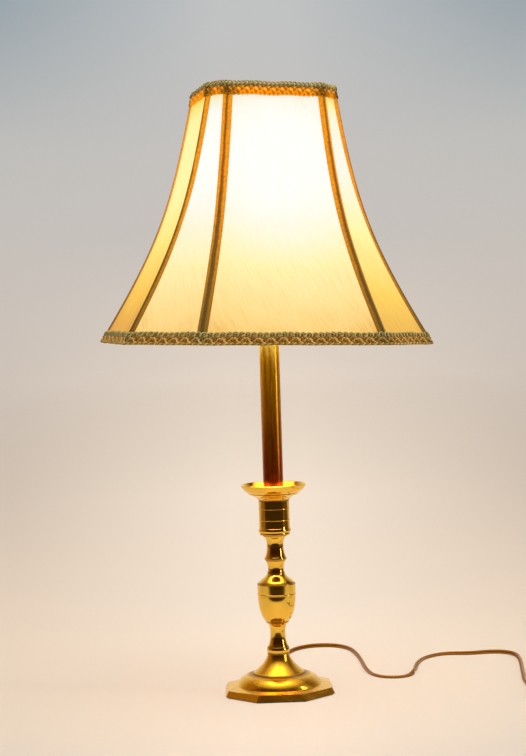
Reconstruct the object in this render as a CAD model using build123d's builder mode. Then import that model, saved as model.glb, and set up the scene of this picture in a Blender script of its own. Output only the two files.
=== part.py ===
from build123d import *
import math
import os

os.makedirs("parts", exist_ok=True)

# A brass candlestick table lamp with a fabric shade. The origin is the middle
# of the underside, where the felt rests on the table, and +Z is up. The sides
# of the foot are square to X and Y. The cord leaves at the back, towards +Y.

# Clearances
turning_gap = 0.3        # round the faces of pieces that turn or slide
seat_gap = 0.2           # between flat faces of different bodies
fit_gap = 0.1            # between pieces that are fixed together
running_gap = 0.05       # a shaft in its bore

# Foot: a cut-corner square rim under a dome and a hollow cone
felt_thickness = 1.5
felt_inset = 2.0
foot_half_width = 59.6
foot_half_side = 26.9
rim_height = 6.3
rim_lean = 3.2
rim_side_lean = 2.1
plate_rise = 1.5
foot_wall = 2.6
dome_radius = 46.5
dome_height = 11.8
dome_bulge = 4.2
step_radius = 29.1
step_height = 0.9
cone_height = 21.9
cone_top_radius = 11.8
foot_ceiling = 32.0

# Threaded rod that clamps the whole stem, and its nuts
rod_radius = 4.8
rod_bore = 3.2
rod_tail = 2.0
nut_height = 5.0
nut_flats = 8.0
washer_radius = 11.5
washer_thickness = 1.2

# Baluster
bead_radius = 12.7
bead_height = 6.7
neck_radius = 8.4
neck_height = 27.8
vase_lip_radius = 12.6
vase_radius = 21.2
vase_height = 42.8
vase_ring_height = 30.6
shoulder_height = 11.7
collar_radius = 8.8
collar_height = 14.1
vase_wall = 3.0

# Upper knop, between the baluster and the candle cup
knop_radius = 12.4
knop_bead_height = 3.6
knop_neck_radius = 9.2
knop_neck_height = 22.2
knop_lip_radius = 12.9
knop_lip_height = 1.9

# Candle cup
cup_foot_radius = 16.6
cup_flare_radius = 18.0
cup_radius = 16.8
cup_flare_height = 9.2
cup_height = 38.5
cup_wall = 1.6
cup_ring_heights = [16.3, 28.9]
cup_ring_width = 1.2
cup_ring_depth = 0.35

# Drip pan
pan_radius = 36.1
pan_height = 17.6
pan_step_radius = 28.2
pan_step_height = 7.8
pan_inner_radius = 21.3
pan_inner_height = 3.9
pan_wall = 1.5

# Candle tube and its cap
tube_radius = 11.1
tube_wall = 0.8
tube_length = 211.0
tube_cap_thickness = 3.0
tube_cap_depth = 6.0

# Harp: saddle, ferrules, bow and stud
saddle_half_span = 27.0
saddle_width = 12.0
saddle_thickness = 1.6
saddle_side_height = 3.0
prong_width = 4.2
prong_height = 6.0
ferrule_length = 12.0
ferrule_wall = 1.0
ferrule_bore = 2.5
harp_wire = 1.8
harp_height = 205.0
harp_straight = 24.0
harp_flare = 34.0
harp_half_width = 53.0
harp_widest = 118.0
harp_shoulder = 34.0
harp_shoulder_drop = 14.0
harp_crown = 9.5
harp_bends = [30.0, 60.0, 120.0, 28.0, 12.0]
stud_block_radius = 6.0
stud_block_height = 6.4
wire_depth = 3.3
stud_radius = 3.05
stud_length = 12.0

# Socket
socket_lift = 1.2
socket_hub_radius = 7.5
socket_hub_height = 6.0
socket_cone_height = 6.0
socket_skirt = 7.0
socket_wall = 0.6
shell_radius = 16.2
shell_wall = 0.5
shell_height = 50.0
shell_bead = 0.7
liner_wall = 0.6
switch_body_radius = 14.3
switch_body_height = 22.0
screw_shell_bore = 13.3
screw_shell_wall = 0.4
screw_shell_height = 26.0
contact_radius = 4.0
contact_height = 1.6
terminal_head_radius = 2.6
terminal_head_height = 1.8
knob_height = 11.0
knob_radius = 5.5
knob_length = 11.0
knob_flutes = 12
flute_radius = 0.6
shaft_radius = 2.0
shaft_depth = 8.0
shaft_reach = 12.0
shell_slot = 0.7

# Bulb
bulb_base_radius = 13.0
bulb_base_height = 25.0
bulb_contact_radius = 4.6
bulb_contact_height = 1.6
bulb_neck_radius = 12.4
bulb_radius = 30.0
bulb_height = 86.0
bulb_wall = 0.9
filament_height = 40.0

# Shade: a cut-corner square bell on a wire frame
shade_turn = 10.0
shade_lean = 1.8
shade_height = 276.0
shade_recess = 21.0
bottom_half_width = 165.0
bottom_half_side = 97.6
top_half_width = 68.0
top_half_side = 50.3
flare_reach = 101.5
flare_height = 112.0
waist_reach = 89.5
waist_height = 151.0
fabric = 0.8
seam_gap = 0.15
rib_radius = 1.2
ring_radius = 1.4
ring_inset = 4.0
lining = 0.8
trim_height = 13.0
trim_thickness = 2.0
strip_width = 4.2
strip_thickness = 0.8
spider_hub_radius = 12.0
spider_thickness = 1.4
spider_hole = 3.4
arm_radius = 1.3

# Finial
finial_radius = 7.5
finial_height = 19.5
finial_neck_radius = 3.8
finial_ball_radius = 5.6
finial_tip_radius = 1.0
finial_bore_depth = 14.0

# Cord, its coil and its plug
cord_radius = 2.65
outlet_height = 14.5
outlet_reach = 52.0
bushing_radius = 4.6
bushing_tip_radius = 3.7
bushing_length = 20.0
bushing_bore = 2.8
inner_bend = 9.0
coil_centre = (310.0, -60.0)
coil_inner_radius = 22.0
coil_outer_radius = 37.0
coil_base = 1.3
coil_height = 11.0
tie_width = 6.0
tie_thickness = 0.8
tie_gap = 0.3
plug_length = 30.0
plug_half_width = 12.0
plug_thickness = 11.0
plug_relief_length = 12.0
plug_relief_radius = 4.6
blade_length = 17.0
blade_height = 6.3
blade_thickness = 1.5
blade_spacing = 12.7

# Heights that follow from the sizes above, from the table up
rim_top = felt_thickness + rim_height
dome_base = rim_top + plate_rise
dome_top = dome_base + dome_height
cone_base = dome_top + step_height
foot_top = cone_base + cone_height
baluster_height = bead_height + neck_height + vase_height + shoulder_height + collar_height
baluster_top = foot_top + baluster_height
knop_height = knop_bead_height + knop_neck_height + knop_lip_height
knop_top = baluster_top + knop_height
cup_top = knop_top + cup_height
tube_seat = cup_top + pan_wall + pan_inner_height
tube_top = tube_seat + tube_length
saddle_base = tube_top + tube_cap_thickness
saddle_top = saddle_base + saddle_thickness
prong_base = saddle_top + saddle_side_height
prong_top = prong_base + prong_height
nut_top = saddle_top + nut_height
socket_base = nut_top + socket_lift
rod_low = foot_ceiling - washer_thickness - nut_height - rod_tail
rod_top = socket_base + socket_hub_height
cone_top = rod_top + socket_cone_height
shell_base = cone_top + fit_gap
shell_top = shell_base + shell_height
switch_base = shell_base + shell_wall
switch_top = switch_base + switch_body_height
knob_level = switch_base + knob_height
bulb_tip = switch_top + contact_height + seat_gap
bulb_base_low = bulb_tip + bulb_contact_height
bulb_base_top = bulb_base_low + bulb_base_height
bulb_top = bulb_base_top + bulb_height
harp_low = prong_top + seat_gap
stud_seat = saddle_top + harp_height
wire_level = stud_seat - wire_depth
spider_base = stud_seat + seat_gap
spider_top = spider_base + spider_thickness
finial_base = spider_top + seat_gap
shade_top = spider_top + shade_recess
shade_bottom = shade_top - shade_height


def upright(height=0.0, angle=0.0):
    """A plane through the axis: x outwards at the angle, y up from the height."""
    turn = math.radians(angle)
    return Plane(
        origin=(0, 0, height),
        x_dir=(math.cos(turn), math.sin(turn), 0),
        z_dir=(math.sin(turn), -math.cos(turn), 0),
    )


def outline(start, *steps):
    """A closed profile: a point is a line, two points an arc, more a smooth curve."""
    here = start
    for step in steps:
        if not isinstance(step[0], tuple):
            Line(here, step)
            here = step
        elif len(step) == 2:
            ThreePointArc(here, *step)
            here = step[-1]
        else:
            Spline(here, *step)
            here = step[-1]
    if here != start:
        Line(here, start)


def cut_corner(half_width, half_side):
    """The eight corners of a cut-corner square, anticlockwise."""
    corners = []
    for quarter in range(4):
        turn = math.radians(90 * quarter)
        for x, y in ((half_width, -half_side), (half_width, half_side)):
            corners.append((
                x * math.cos(turn) - y * math.sin(turn),
                x * math.sin(turn) + y * math.cos(turn),
            ))
    return corners


def save(piece, name):
    """Label a finished piece and write it to its own file."""
    piece.label = name
    export_step(piece, f"parts/{name}.step")


def bend_radii(points):
    """The largest tangent arcs that the runs beside each corner allow."""
    radii = []
    for before, corner, after in zip(points, points[1:], points[2:]):
        arriving = Vector(*corner) - Vector(*before)
        leaving = Vector(*after) - Vector(*corner)
        half_turn = math.radians(arriving.get_angle(leaving)) / 2
        shorter = min(arriving.length, leaving.length)
        radii.append(0.45 * shorter / math.tan(half_turn))
    return radii


def lean(piece):
    """A piece of the shade, leaned with the rest of it about the top of the hub."""
    return piece.rotate(Axis((0, 0, spider_top), (0, 1, 0)), shade_lean)


def lean_point(x, y, z):
    """A point of the shade, leaned in the same way."""
    turn, rise = math.radians(shade_lean), z - spider_top
    return (
        x * math.cos(turn) + rise * math.sin(turn),
        y,
        spider_top + rise * math.cos(turn) - x * math.sin(turn),
    )


def bell_points():
    """Control points of the bell: half width, half side and level, from the hem up."""
    slope = (bottom_half_side - top_half_side) / (bottom_half_width - top_half_width)
    points = []
    for width, level in (
        (bottom_half_width, shade_bottom),
        (flare_reach, shade_bottom + flare_height),
        (waist_reach, shade_bottom + waist_height),
        (top_half_width, shade_top),
    ):
        points.append((width, top_half_side + slope * (width - top_half_width), level))
    return points


def bell_reach(corner, inset):
    """The bell as (reach, half side, level) on a flat face or on a corner face."""
    points = []
    for width, side, level in bell_points():
        if corner:
            width, side = (width + side) / math.sqrt(2), (width - side) / math.sqrt(2)
        points.append((width - inset, side - inset * math.tan(math.pi / 8), level))
    return points


def bell_at(level, inset):
    """Half width and half side of the bell at a level."""
    low, high = 0.0, 1.0
    points = bell_reach(False, inset)
    for _ in range(40):
        middle = (low + high) / 2
        weights = [(1 - middle) ** 3, 3 * middle * (1 - middle) ** 2, 3 * middle**2 * (1 - middle), middle**3]
        width, side, height = (sum(w * p[i] for w, p in zip(weights, points)) for i in range(3))
        if height < level:
            low = middle
        else:
            high = middle
    return width, side


def rib_plane(corner, inset, side, shift):
    """The upright plane of a rib, moved back by shift, facing out of the face."""
    points = bell_reach(corner, inset)
    low, high = points[0], points[-1]
    along = Vector(low[0] - high[0], side * (low[1] - high[1]), 0)
    facing = Vector(-side * along.Y, side * along.X, 0)
    return Plane(origin=(high[0], side * (high[1] - shift), 0), z_dir=facing.normalized())


def bell_face(angle, inset, thickness, bottom, top, gap=0.0, strip=0):
    """A curved slab of the shade: one of its eight faces, cut at the ribs.

    A strip of 1 or -1 keeps only the stretch beside the rib on that side.
    """
    corner = round(angle / 45) % 2 == 1
    points = bell_reach(corner, inset)
    with BuildPart() as slab:
        with BuildSketch(Plane.XZ):
            with BuildLine():
                outer = [(reach, level) for reach, _, level in points]
                inner = [(reach - thickness, level) for reach, _, level in points]
                Bezier(*outer)
                Bezier(*inner)
                Line(outer[0], inner[0])
                Line(outer[-1], inner[-1])
            make_face()
        extrude(amount=bottom_half_width, both=True)
        for side in (-1, 1):
            split(bisect_by=rib_plane(corner, inset, side, gap), keep=Keep.BOTTOM)
        if strip:
            split(bisect_by=rib_plane(corner, inset, strip, strip_width), keep=Keep.TOP)
        if bottom > shade_bottom:
            split(bisect_by=Plane.XY.offset(bottom), keep=Keep.TOP)
        if top < shade_top:
            split(bisect_by=Plane.XY.offset(top), keep=Keep.BOTTOM)
    return slab.part.rotate(Axis.Z, angle + shade_turn)


# Foot: the rim, the dome with its step, and the hollow cone
with BuildPart() as foot:
    with BuildSketch(Plane.XY.offset(felt_thickness)):
        Polygon(*cut_corner(foot_half_width, foot_half_side), align=None)
    with BuildSketch(Plane.XY.offset(rim_top)):
        Polygon(*cut_corner(foot_half_width - rim_lean, foot_half_side - rim_side_lean), align=None)
    loft()
    with BuildSketch(upright()):
        with BuildLine():
            outline(
                (0, rim_top - rim_height / 2),
                (foot_half_width - rim_lean - 1, rim_top - rim_height / 2),
                (foot_half_width - rim_lean - 1, rim_top),
                (dome_radius, dome_base),
                ((dome_radius - dome_bulge, dome_base + 0.56 * dome_height), (step_radius, dome_top)),
                (step_radius - step_height / 2, cone_base),
                [
                    (cone_top_radius + 0.42 * (step_radius - cone_top_radius), cone_base + 0.39 * cone_height),
                    (cone_top_radius + 0.13 * (step_radius - cone_top_radius), cone_base + 0.69 * cone_height),
                    (cone_top_radius, foot_top),
                ],
                (0, foot_top),
            )
        make_face()
    revolve(axis=Axis.Z)
    with BuildSketch(upright()):
        with BuildLine():
            outline(
                (0, 0),
                (dome_radius - foot_wall, 0),
                (dome_radius - foot_wall, dome_base),
                (
                    (dome_radius - dome_bulge - foot_wall, dome_base + 0.56 * dome_height - foot_wall),
                    (step_radius - foot_wall, dome_top - foot_wall),
                ),
                (washer_radius + 1, foot_ceiling - foot_wall),
                (washer_radius + 1, foot_ceiling),
                (0, foot_ceiling),
            )
        make_face()
    revolve(axis=Axis.Z, mode=Mode.SUBTRACT)
    with Locations((0, 0, foot_top)):
        Hole(rod_radius + fit_gap, depth=foot_top - foot_ceiling + 1)
    with BuildSketch(Plane.XZ.offset(bushing_length - outlet_reach)):
        with Locations((0, outlet_height)):
            Circle(bushing_radius + running_gap)
    extrude(amount=-bushing_length, mode=Mode.SUBTRACT)
save(foot.part, "foot")

# Felt under the whole foot
with BuildPart() as felt:
    with BuildSketch():
        Polygon(*cut_corner(foot_half_width - felt_inset, foot_half_side - felt_inset / 2), align=None)
    extrude(amount=felt_thickness)
save(felt.part, "foot_felt")

# Threaded rod through the stem, with the washer and nut inside the foot and a
# nut on the saddle
with BuildPart() as rod:
    with BuildSketch(Plane.XY.offset(rod_low)):
        Circle(rod_radius)
        Circle(rod_bore, mode=Mode.SUBTRACT)
    extrude(amount=rod_top - rod_low)
save(rod.part, "threaded_rod")

with BuildPart() as washer:
    with BuildSketch(Plane.XY.offset(foot_ceiling - washer_thickness)):
        Circle(washer_radius)
        Circle(rod_radius + fit_gap, mode=Mode.SUBTRACT)
    extrude(amount=washer_thickness)
save(washer.part, "foot_washer")


def hex_nut(height, name):
    """A hexagon nut on the rod, with its underside at the height."""
    with BuildPart() as nut:
        with BuildSketch(Plane.XY.offset(height)):
            RegularPolygon(nut_flats, 6, major_radius=False)
            Circle(rod_radius + fit_gap, mode=Mode.SUBTRACT)
        extrude(amount=nut_height)
    save(nut.part, name)


hex_nut(foot_ceiling - washer_thickness - nut_height, "foot_nut")
hex_nut(saddle_top, "saddle_nut")

# Baluster: a beaded foot, a slim neck, the vase and its ogee shoulder
vase_base = bead_height + neck_height
vase_top = vase_base + vase_height
shoulder_top = vase_top + shoulder_height
with BuildPart() as baluster:
    with BuildSketch(upright(foot_top)):
        with BuildLine():
            outline(
                (0, 0),
                (bead_radius - 0.7, 0),
                (bead_radius - 0.5, 1.9),
                (bead_radius - 0.1, 2.1),
                ((bead_radius, 3.9), (bead_radius - 0.8, 6.3)),
                (bead_radius - 1.1, bead_height),
                [
                    (neck_radius + 0.7, bead_height + 6.6),
                    (neck_radius, bead_height + 14.0),
                    (neck_radius + 0.6, bead_height + 22.2),
                    (vase_lip_radius - 0.2, vase_base - 0.6),
                ],
                (vase_lip_radius + 0.6, vase_base + 0.7),
                [
                    (vase_radius - 3.1, vase_base + 10.0),
                    (vase_radius - 1.0, vase_base + 18.9),
                    (vase_radius - 0.4, vase_base + vase_ring_height - 1.0),
                ],
                (
                    (vase_radius + 0.3, vase_base + vase_ring_height),
                    (vase_radius - 0.2, vase_base + vase_ring_height + 1),
                ),
                (vase_radius, vase_top - 1.2),
                ((vase_radius - 0.3, vase_top - 0.3), (vase_radius - 1.2, vase_top)),
                [
                    (collar_radius + 6.5, vase_top + 5.0),
                    (collar_radius + 1.6, vase_top + 9.4),
                    (collar_radius, shoulder_top + 4.4),
                    (collar_radius + 2.4, baluster_height - 0.8),
                ],
                (collar_radius + 2.9, baluster_height),
                (0, baluster_height),
            )
        make_face()
    revolve(axis=Axis.Z)
    with BuildSketch(upright(foot_top)):
        with BuildLine():
            outline(
                (0, vase_base + 3),
                (vase_lip_radius - vase_wall, vase_base + 3),
                (vase_radius - vase_wall - 1.5, vase_base + 17),
                (vase_radius - vase_wall - 1.0, vase_top - vase_wall),
                (collar_radius + 2, vase_top + 2),
                (0, vase_top + 2),
            )
        make_face()
    revolve(axis=Axis.Z, mode=Mode.SUBTRACT)
    with Locations((0, 0, baluster_top)):
        Hole(rod_radius + fit_gap, depth=baluster_height)
save(baluster.part, "baluster")

# Upper knop: a bead and a waisted neck that opens under the cup
with BuildPart() as knop:
    with BuildSketch(upright(baluster_top)):
        with BuildLine():
            outline(
                (rod_radius + fit_gap, 0),
                (knop_radius - 0.5, 0),
                ((knop_radius, 1.4), (knop_radius - 0.5, 2.9)),
                (knop_radius - 0.9, knop_bead_height),
                [
                    (knop_neck_radius + 0.4, knop_bead_height + 6.2),
                    (knop_neck_radius, knop_bead_height + 11.2),
                    (knop_neck_radius + 0.6, knop_bead_height + 17.6),
                    (knop_lip_radius, knop_height - knop_lip_height),
                ],
                (knop_lip_radius + 0.8, knop_height),
                (rod_radius + fit_gap, knop_height),
            )
        make_face()
    revolve(axis=Axis.Z)
save(knop.part, "upper_knop")

# Candle cup: a flared foot under a straight wall with engraved rings
with BuildPart() as cup:
    with BuildSketch(upright(knop_top)):
        with BuildLine():
            outline(
                (rod_radius + fit_gap, 0),
                (cup_foot_radius - 0.4, 0),
                ((cup_foot_radius + 0.2, 0.9), (cup_foot_radius, 2.4)),
                (cup_foot_radius + 0.9, 3.1),
                ((cup_flare_radius, 5.0), (cup_radius + 0.3, 7.6)),
                (cup_radius, cup_flare_height),
                (cup_radius, cup_height),
                (cup_radius - cup_wall, cup_height),
                (cup_radius - cup_wall, cup_flare_height - 3),
                (rod_radius + fit_gap, cup_flare_height - 3),
            )
        make_face()
        for ring_height in cup_ring_heights:
            with Locations((cup_radius, ring_height)):
                Rectangle(2 * cup_ring_depth, cup_ring_width, mode=Mode.SUBTRACT)
    revolve(axis=Axis.Z)
save(cup.part, "candle_cup")

# Drip pan: a dish with two steps under it, and the seat of the candle tube
with BuildPart() as pan:
    with BuildSketch(upright(cup_top)):
        with BuildLine():
            outline(
                (rod_radius + fit_gap, 0),
                (cup_radius + 0.4, 0),
                (cup_radius + 1.4, 1.3),
                (pan_inner_radius - 0.8, pan_inner_height - 0.8),
                (pan_inner_radius, pan_inner_height),
                ((pan_step_radius - 2.4, pan_step_height - 2.0), (pan_step_radius, pan_step_height - 0.6)),
                (pan_step_radius, pan_step_height),
                ((pan_radius - 2.4, pan_height - 5.2), (pan_radius, pan_height - 0.6)),
                (pan_radius - 0.6, pan_height),
                (pan_radius - pan_wall - 0.3, pan_height - 0.4),
                (
                    (pan_radius - pan_wall - 3.4, pan_height - 4.4),
                    (pan_step_radius - 1.6, pan_step_height + 1.0),
                ),
                (pan_inner_radius - 2.0, pan_inner_height + pan_wall),
                (rod_radius + fit_gap, pan_inner_height + pan_wall),
            )
        make_face()
    revolve(axis=Axis.Z)
save(pan.part, "drip_pan")

# Candle tube round the rod, and the cap that centres it
with BuildPart() as tube:
    with BuildSketch(Plane.XY.offset(tube_seat)):
        Circle(tube_radius)
        Circle(tube_radius - tube_wall, mode=Mode.SUBTRACT)
    extrude(amount=tube_length)
save(tube.part, "candle_tube")

with BuildPart() as tube_cap:
    with BuildSketch(upright(tube_top)):
        with BuildLine():
            outline(
                (rod_radius + fit_gap, -tube_cap_depth),
                (tube_radius - tube_wall - fit_gap, -tube_cap_depth),
                (tube_radius - tube_wall - fit_gap, 0),
                (tube_radius + 0.8, 0),
                ((tube_radius + 1.3, tube_cap_thickness / 2), (tube_radius + 0.8, tube_cap_thickness)),
                (rod_radius + fit_gap, tube_cap_thickness),
            )
        make_face()
    revolve(axis=Axis.Z)
save(tube_cap.part, "tube_cap")

# Harp saddle: a bent strip with a prong for each end of the harp
with BuildPart() as saddle:
    half = saddle_half_span + saddle_thickness / 2
    with BuildSketch(Plane.XZ):
        with BuildLine():
            outline(
                (-half, saddle_base),
                (half, saddle_base),
                (half, prong_base),
                (half - saddle_thickness, prong_base),
                (half - saddle_thickness, saddle_top),
                (saddle_thickness - half, saddle_top),
                (saddle_thickness - half, prong_base),
                (-half, prong_base),
            )
        make_face()
    extrude(amount=saddle_width / 2, both=True)
    with BuildSketch(Plane.XY.offset(prong_base)):
        with Locations((-saddle_half_span, 0), (saddle_half_span, 0)):
            Rectangle(saddle_thickness, prong_width)
    extrude(amount=prong_height)
    with Locations((0, 0, saddle_top)):
        Hole(rod_radius + fit_gap, depth=saddle_thickness)
save(saddle.part, "harp_saddle")

# Ferrules that slide up the harp to free its ends
for side, name in ((-1, "ferrule_left"), (1, "ferrule_right")):
    with BuildPart() as ferrule:
        with BuildSketch(Plane.XY.offset(prong_base + seat_gap)):
            with Locations((side * saddle_half_span, 0)):
                Circle(ferrule_bore + ferrule_wall)
                Circle(ferrule_bore, mode=Mode.SUBTRACT)
        extrude(amount=ferrule_length)
    save(ferrule.part, name)

# Harp: one bent wire from prong to prong
right_side = [
    (saddle_half_span, harp_low),
    (saddle_half_span, harp_low + harp_straight),
    (harp_half_width - 3, harp_low + harp_straight + harp_flare),
    (harp_half_width, harp_low + harp_widest),
    (harp_shoulder, wire_level - harp_shoulder_drop),
    (harp_crown, wire_level),
]
harp_points = right_side + [(-x, z) for x, z in reversed(right_side)]
with BuildPart() as harp:
    with BuildLine(Plane.XZ) as bow:
        FilletPolyline(*harp_points, radius=harp_bends + harp_bends[::-1])
    with BuildSketch(Plane.XY.offset(harp_low)):
        with Locations((saddle_half_span, 0)):
            Circle(harp_wire)
    sweep(path=bow.wires()[0])
save(harp.part, "harp")

with BuildPart() as stud:
    with BuildSketch(Plane.XY.offset(stud_seat - stud_block_height)):
        Circle(stud_block_radius)
    extrude(amount=stud_block_height)
    with BuildSketch(Plane.XY.offset(stud_seat)):
        Circle(stud_radius)
    extrude(amount=stud_length)
    with BuildSketch(Plane.YZ):
        with Locations((0, wire_level)):
            Circle(harp_wire + running_gap)
    extrude(amount=stud_block_radius, both=True, mode=Mode.SUBTRACT)
save(stud.part, "harp_stud")

# Socket: cap, shell, paper liner, switch body and screw shell
cap_outer = shell_radius + fit_gap + socket_wall
with BuildPart() as socket_cap:
    with BuildSketch(upright(socket_base)):
        with BuildLine():
            outline(
                (rod_radius + fit_gap, 0),
                (socket_hub_radius, 0),
                (socket_hub_radius, socket_hub_height - 1),
                (
                    (cap_outer - 2.2, socket_hub_height + 1.2),
                    (cap_outer, socket_hub_height + socket_cone_height - 0.5),
                ),
                (cap_outer, socket_hub_height + socket_cone_height + socket_skirt),
                (cap_outer - socket_wall, socket_hub_height + socket_cone_height + socket_skirt),
                (cap_outer - socket_wall, socket_hub_height + socket_cone_height),
                (
                    (cap_outer - socket_wall - 2.4, socket_hub_height + 2.0),
                    (socket_hub_radius, socket_hub_height),
                ),
                (rod_radius + fit_gap, socket_hub_height),
            )
        make_face()
    revolve(axis=Axis.Z)
save(socket_cap.part, "socket_cap")

with BuildPart() as shell:
    with BuildSketch(upright()):
        with BuildLine():
            outline(
                (shell_radius - shell_wall, shell_base),
                (shell_radius, shell_base),
                (shell_radius, shell_top - 3),
                ((shell_radius + shell_bead, shell_top - 1.5), (shell_radius, shell_top)),
                (shell_radius - shell_wall, shell_top),
            )
        make_face()
    revolve(axis=Axis.Z)
    with BuildSketch(Plane.XZ):
        with Locations((0, knob_level)):
            Circle(shaft_radius + shell_slot)
    extrude(amount=shell_radius + shell_bead, mode=Mode.SUBTRACT)
save(shell.part, "socket_shell")

with BuildPart() as liner:
    liner_radius = shell_radius - shell_wall - fit_gap
    with BuildSketch(Plane.XY.offset(shell_base)):
        Circle(liner_radius)
        Circle(liner_radius - liner_wall, mode=Mode.SUBTRACT)
    extrude(amount=shell_height - 1)
    with BuildSketch(Plane.XZ):
        with Locations((0, knob_level)):
            Circle(shaft_radius + shell_slot)
    extrude(amount=shell_radius, mode=Mode.SUBTRACT)
save(liner.part, "socket_liner")

terminal_level = switch_base + switch_body_height / 2
with BuildPart() as switch_body:
    with BuildSketch(Plane.XY.offset(switch_base)):
        Circle(switch_body_radius)
    extrude(amount=switch_body_height)
    with BuildSketch(Plane.XZ.offset(switch_body_radius - shaft_depth)):
        with Locations((0, knob_level)):
            Circle(shaft_radius + running_gap)
    extrude(amount=shaft_depth, mode=Mode.SUBTRACT)
    with BuildSketch(Plane.XY.offset(terminal_level - terminal_head_radius - 1)):
        with Locations((-switch_body_radius, 0), (switch_body_radius, 0)):
            Rectangle(2 * terminal_head_height + 0.6, 2 * terminal_head_radius + 2)
    extrude(amount=2 * terminal_head_radius + 2, mode=Mode.SUBTRACT)
save(switch_body.part, "switch_body")

with BuildPart() as terminals:
    for side in (-1, 1):
        with BuildSketch(Plane.YZ.offset(side * (switch_body_radius - terminal_head_height - 0.3))):
            with Locations((0, terminal_level)):
                Circle(terminal_head_radius)
        extrude(amount=side * terminal_head_height)
save(terminals.part, "terminal_screws")

with BuildPart() as screw_shell:
    with BuildSketch(Plane.XY.offset(switch_top)):
        Circle(screw_shell_bore + screw_shell_wall)
        Circle(screw_shell_bore, mode=Mode.SUBTRACT)
    extrude(amount=screw_shell_height)
save(screw_shell.part, "screw_shell")

with BuildPart() as contact:
    with BuildSketch(Plane.XY.offset(switch_top)):
        Circle(contact_radius)
    extrude(amount=contact_height)
save(contact.part, "centre_contact")

# Switch: the shaft turns in the switch body, and the knob is fixed on it
shaft_start = switch_body_radius - shaft_depth + fit_gap
shaft_end = shell_radius + shaft_reach
with BuildPart() as shaft:
    with BuildSketch(Plane.XZ.offset(shaft_start)):
        with Locations((0, knob_level)):
            Circle(shaft_radius)
    extrude(amount=shaft_end - shaft_start)
save(shaft.part, "switch_shaft")

with BuildPart() as knob:
    with BuildSketch(Plane.XZ.offset(shaft_end)):
        with Locations((0, knob_level)):
            Circle(knob_radius)
            with PolarLocations(knob_radius, knob_flutes):
                Circle(flute_radius, mode=Mode.SUBTRACT)
    extrude(amount=knob_length)
save(knob.part, "switch_knob")

# Bulb: a screw base, its contact, the glass and the mount inside it
with BuildPart() as bulb_base:
    with BuildSketch(upright()):
        with BuildLine():
            outline(
                (0, bulb_base_low),
                (bulb_base_radius - 4, bulb_base_low),
                (bulb_base_radius, bulb_base_low + 3),
                (bulb_base_radius, bulb_base_top),
                (bulb_base_radius - 0.5, bulb_base_top),
                (bulb_base_radius - 0.5, bulb_base_low + 4),
                (0, bulb_base_low + 2),
            )
        make_face()
    revolve(axis=Axis.Z)
save(bulb_base.part, "bulb_base")

with BuildPart() as bulb_contact:
    with BuildSketch(Plane.XY.offset(bulb_tip)):
        Circle(bulb_contact_radius)
    extrude(amount=bulb_contact_height)
save(bulb_contact.part, "bulb_contact")

ball_level = bulb_top - bulb_radius
with BuildPart() as bulb_glass:
    with BuildSketch(upright()):
        with BuildLine():
            outline(
                (0, bulb_top),
                ((bulb_radius * math.sin(math.pi / 4), ball_level + bulb_radius * math.cos(math.pi / 4)),
                 (bulb_radius, ball_level)),
                [
                    (bulb_radius - 3.4, ball_level - 16),
                    (bulb_neck_radius + 4.6, ball_level - 36),
                    (bulb_neck_radius, bulb_base_top + seat_gap),
                ],
                (bulb_neck_radius, bulb_base_top - 6),
                (bulb_neck_radius - bulb_wall, bulb_base_top - 6),
                (bulb_neck_radius - bulb_wall, bulb_base_top + seat_gap),
                [
                    (bulb_neck_radius + 4.6 - bulb_wall, ball_level - 36),
                    (bulb_radius - 3.4 - bulb_wall, ball_level - 16),
                    (bulb_radius - bulb_wall, ball_level),
                ],
                (
                    ((bulb_radius - bulb_wall) * math.sin(math.pi / 4),
                     ball_level + (bulb_radius - bulb_wall) * math.cos(math.pi / 4)),
                    (0, bulb_top - bulb_wall),
                ),
            )
        make_face()
    revolve(axis=Axis.Z)
save(bulb_glass.part, "bulb_glass")

with BuildPart() as mount:
    stem_base = bulb_base_top - 6
    with BuildSketch(upright()):
        with BuildLine():
            outline(
                (0, stem_base),
                (bulb_neck_radius - bulb_wall - fit_gap, stem_base),
                (bulb_neck_radius - bulb_wall - fit_gap, stem_base + 1.5),
                (3.0, stem_base + 6),
                (2.4, stem_base + filament_height),
                (0, stem_base + filament_height),
            )
        make_face()
    revolve(axis=Axis.Z)
save(mount.part, "bulb_mount")

# Shade: eight fabric faces and their lining
face_names = ["right", "back", "left", "front"]
for quarter, name in enumerate(face_names):
    panel = bell_face(90 * quarter, 0, fabric, shade_bottom, shade_top, seam_gap)
    save(lean(panel), f"panel_{name}")
corner_names = ["back_right", "back_left", "front_left", "front_right"]
for quarter, name in enumerate(corner_names):
    panel = bell_face(90 * quarter + 45, 0, fabric, shade_bottom, shade_top, seam_gap)
    save(lean(panel), f"corner_{name}")

rib_inset = fabric + fit_gap + 1.2 * rib_radius
lining_inset = rib_inset + 1.2 * rib_radius + fit_gap
lining_edge = ring_inset + 2 * ring_radius + 1
with BuildPart() as shade_lining:
    for eighth in range(8):
        add(bell_face(45 * eighth, lining_inset, lining, shade_bottom + lining_edge, shade_top - lining_edge))
save(lean(shade_lining.part), "shade_lining")

# Braid round the hem and the top, and a fabric strip down each seam
with BuildPart() as hem_braid:
    for eighth in range(8):
        add(bell_face(
            45 * eighth, -fit_gap - trim_thickness, trim_thickness, shade_bottom, shade_bottom + trim_height
        ))
save(lean(hem_braid.part), "hem_braid")

with BuildPart() as top_braid:
    for eighth in range(8):
        add(bell_face(
            45 * eighth, -fit_gap - trim_thickness, trim_thickness, shade_top - trim_height, shade_top
        ))
save(lean(top_braid.part), "top_braid")

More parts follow.
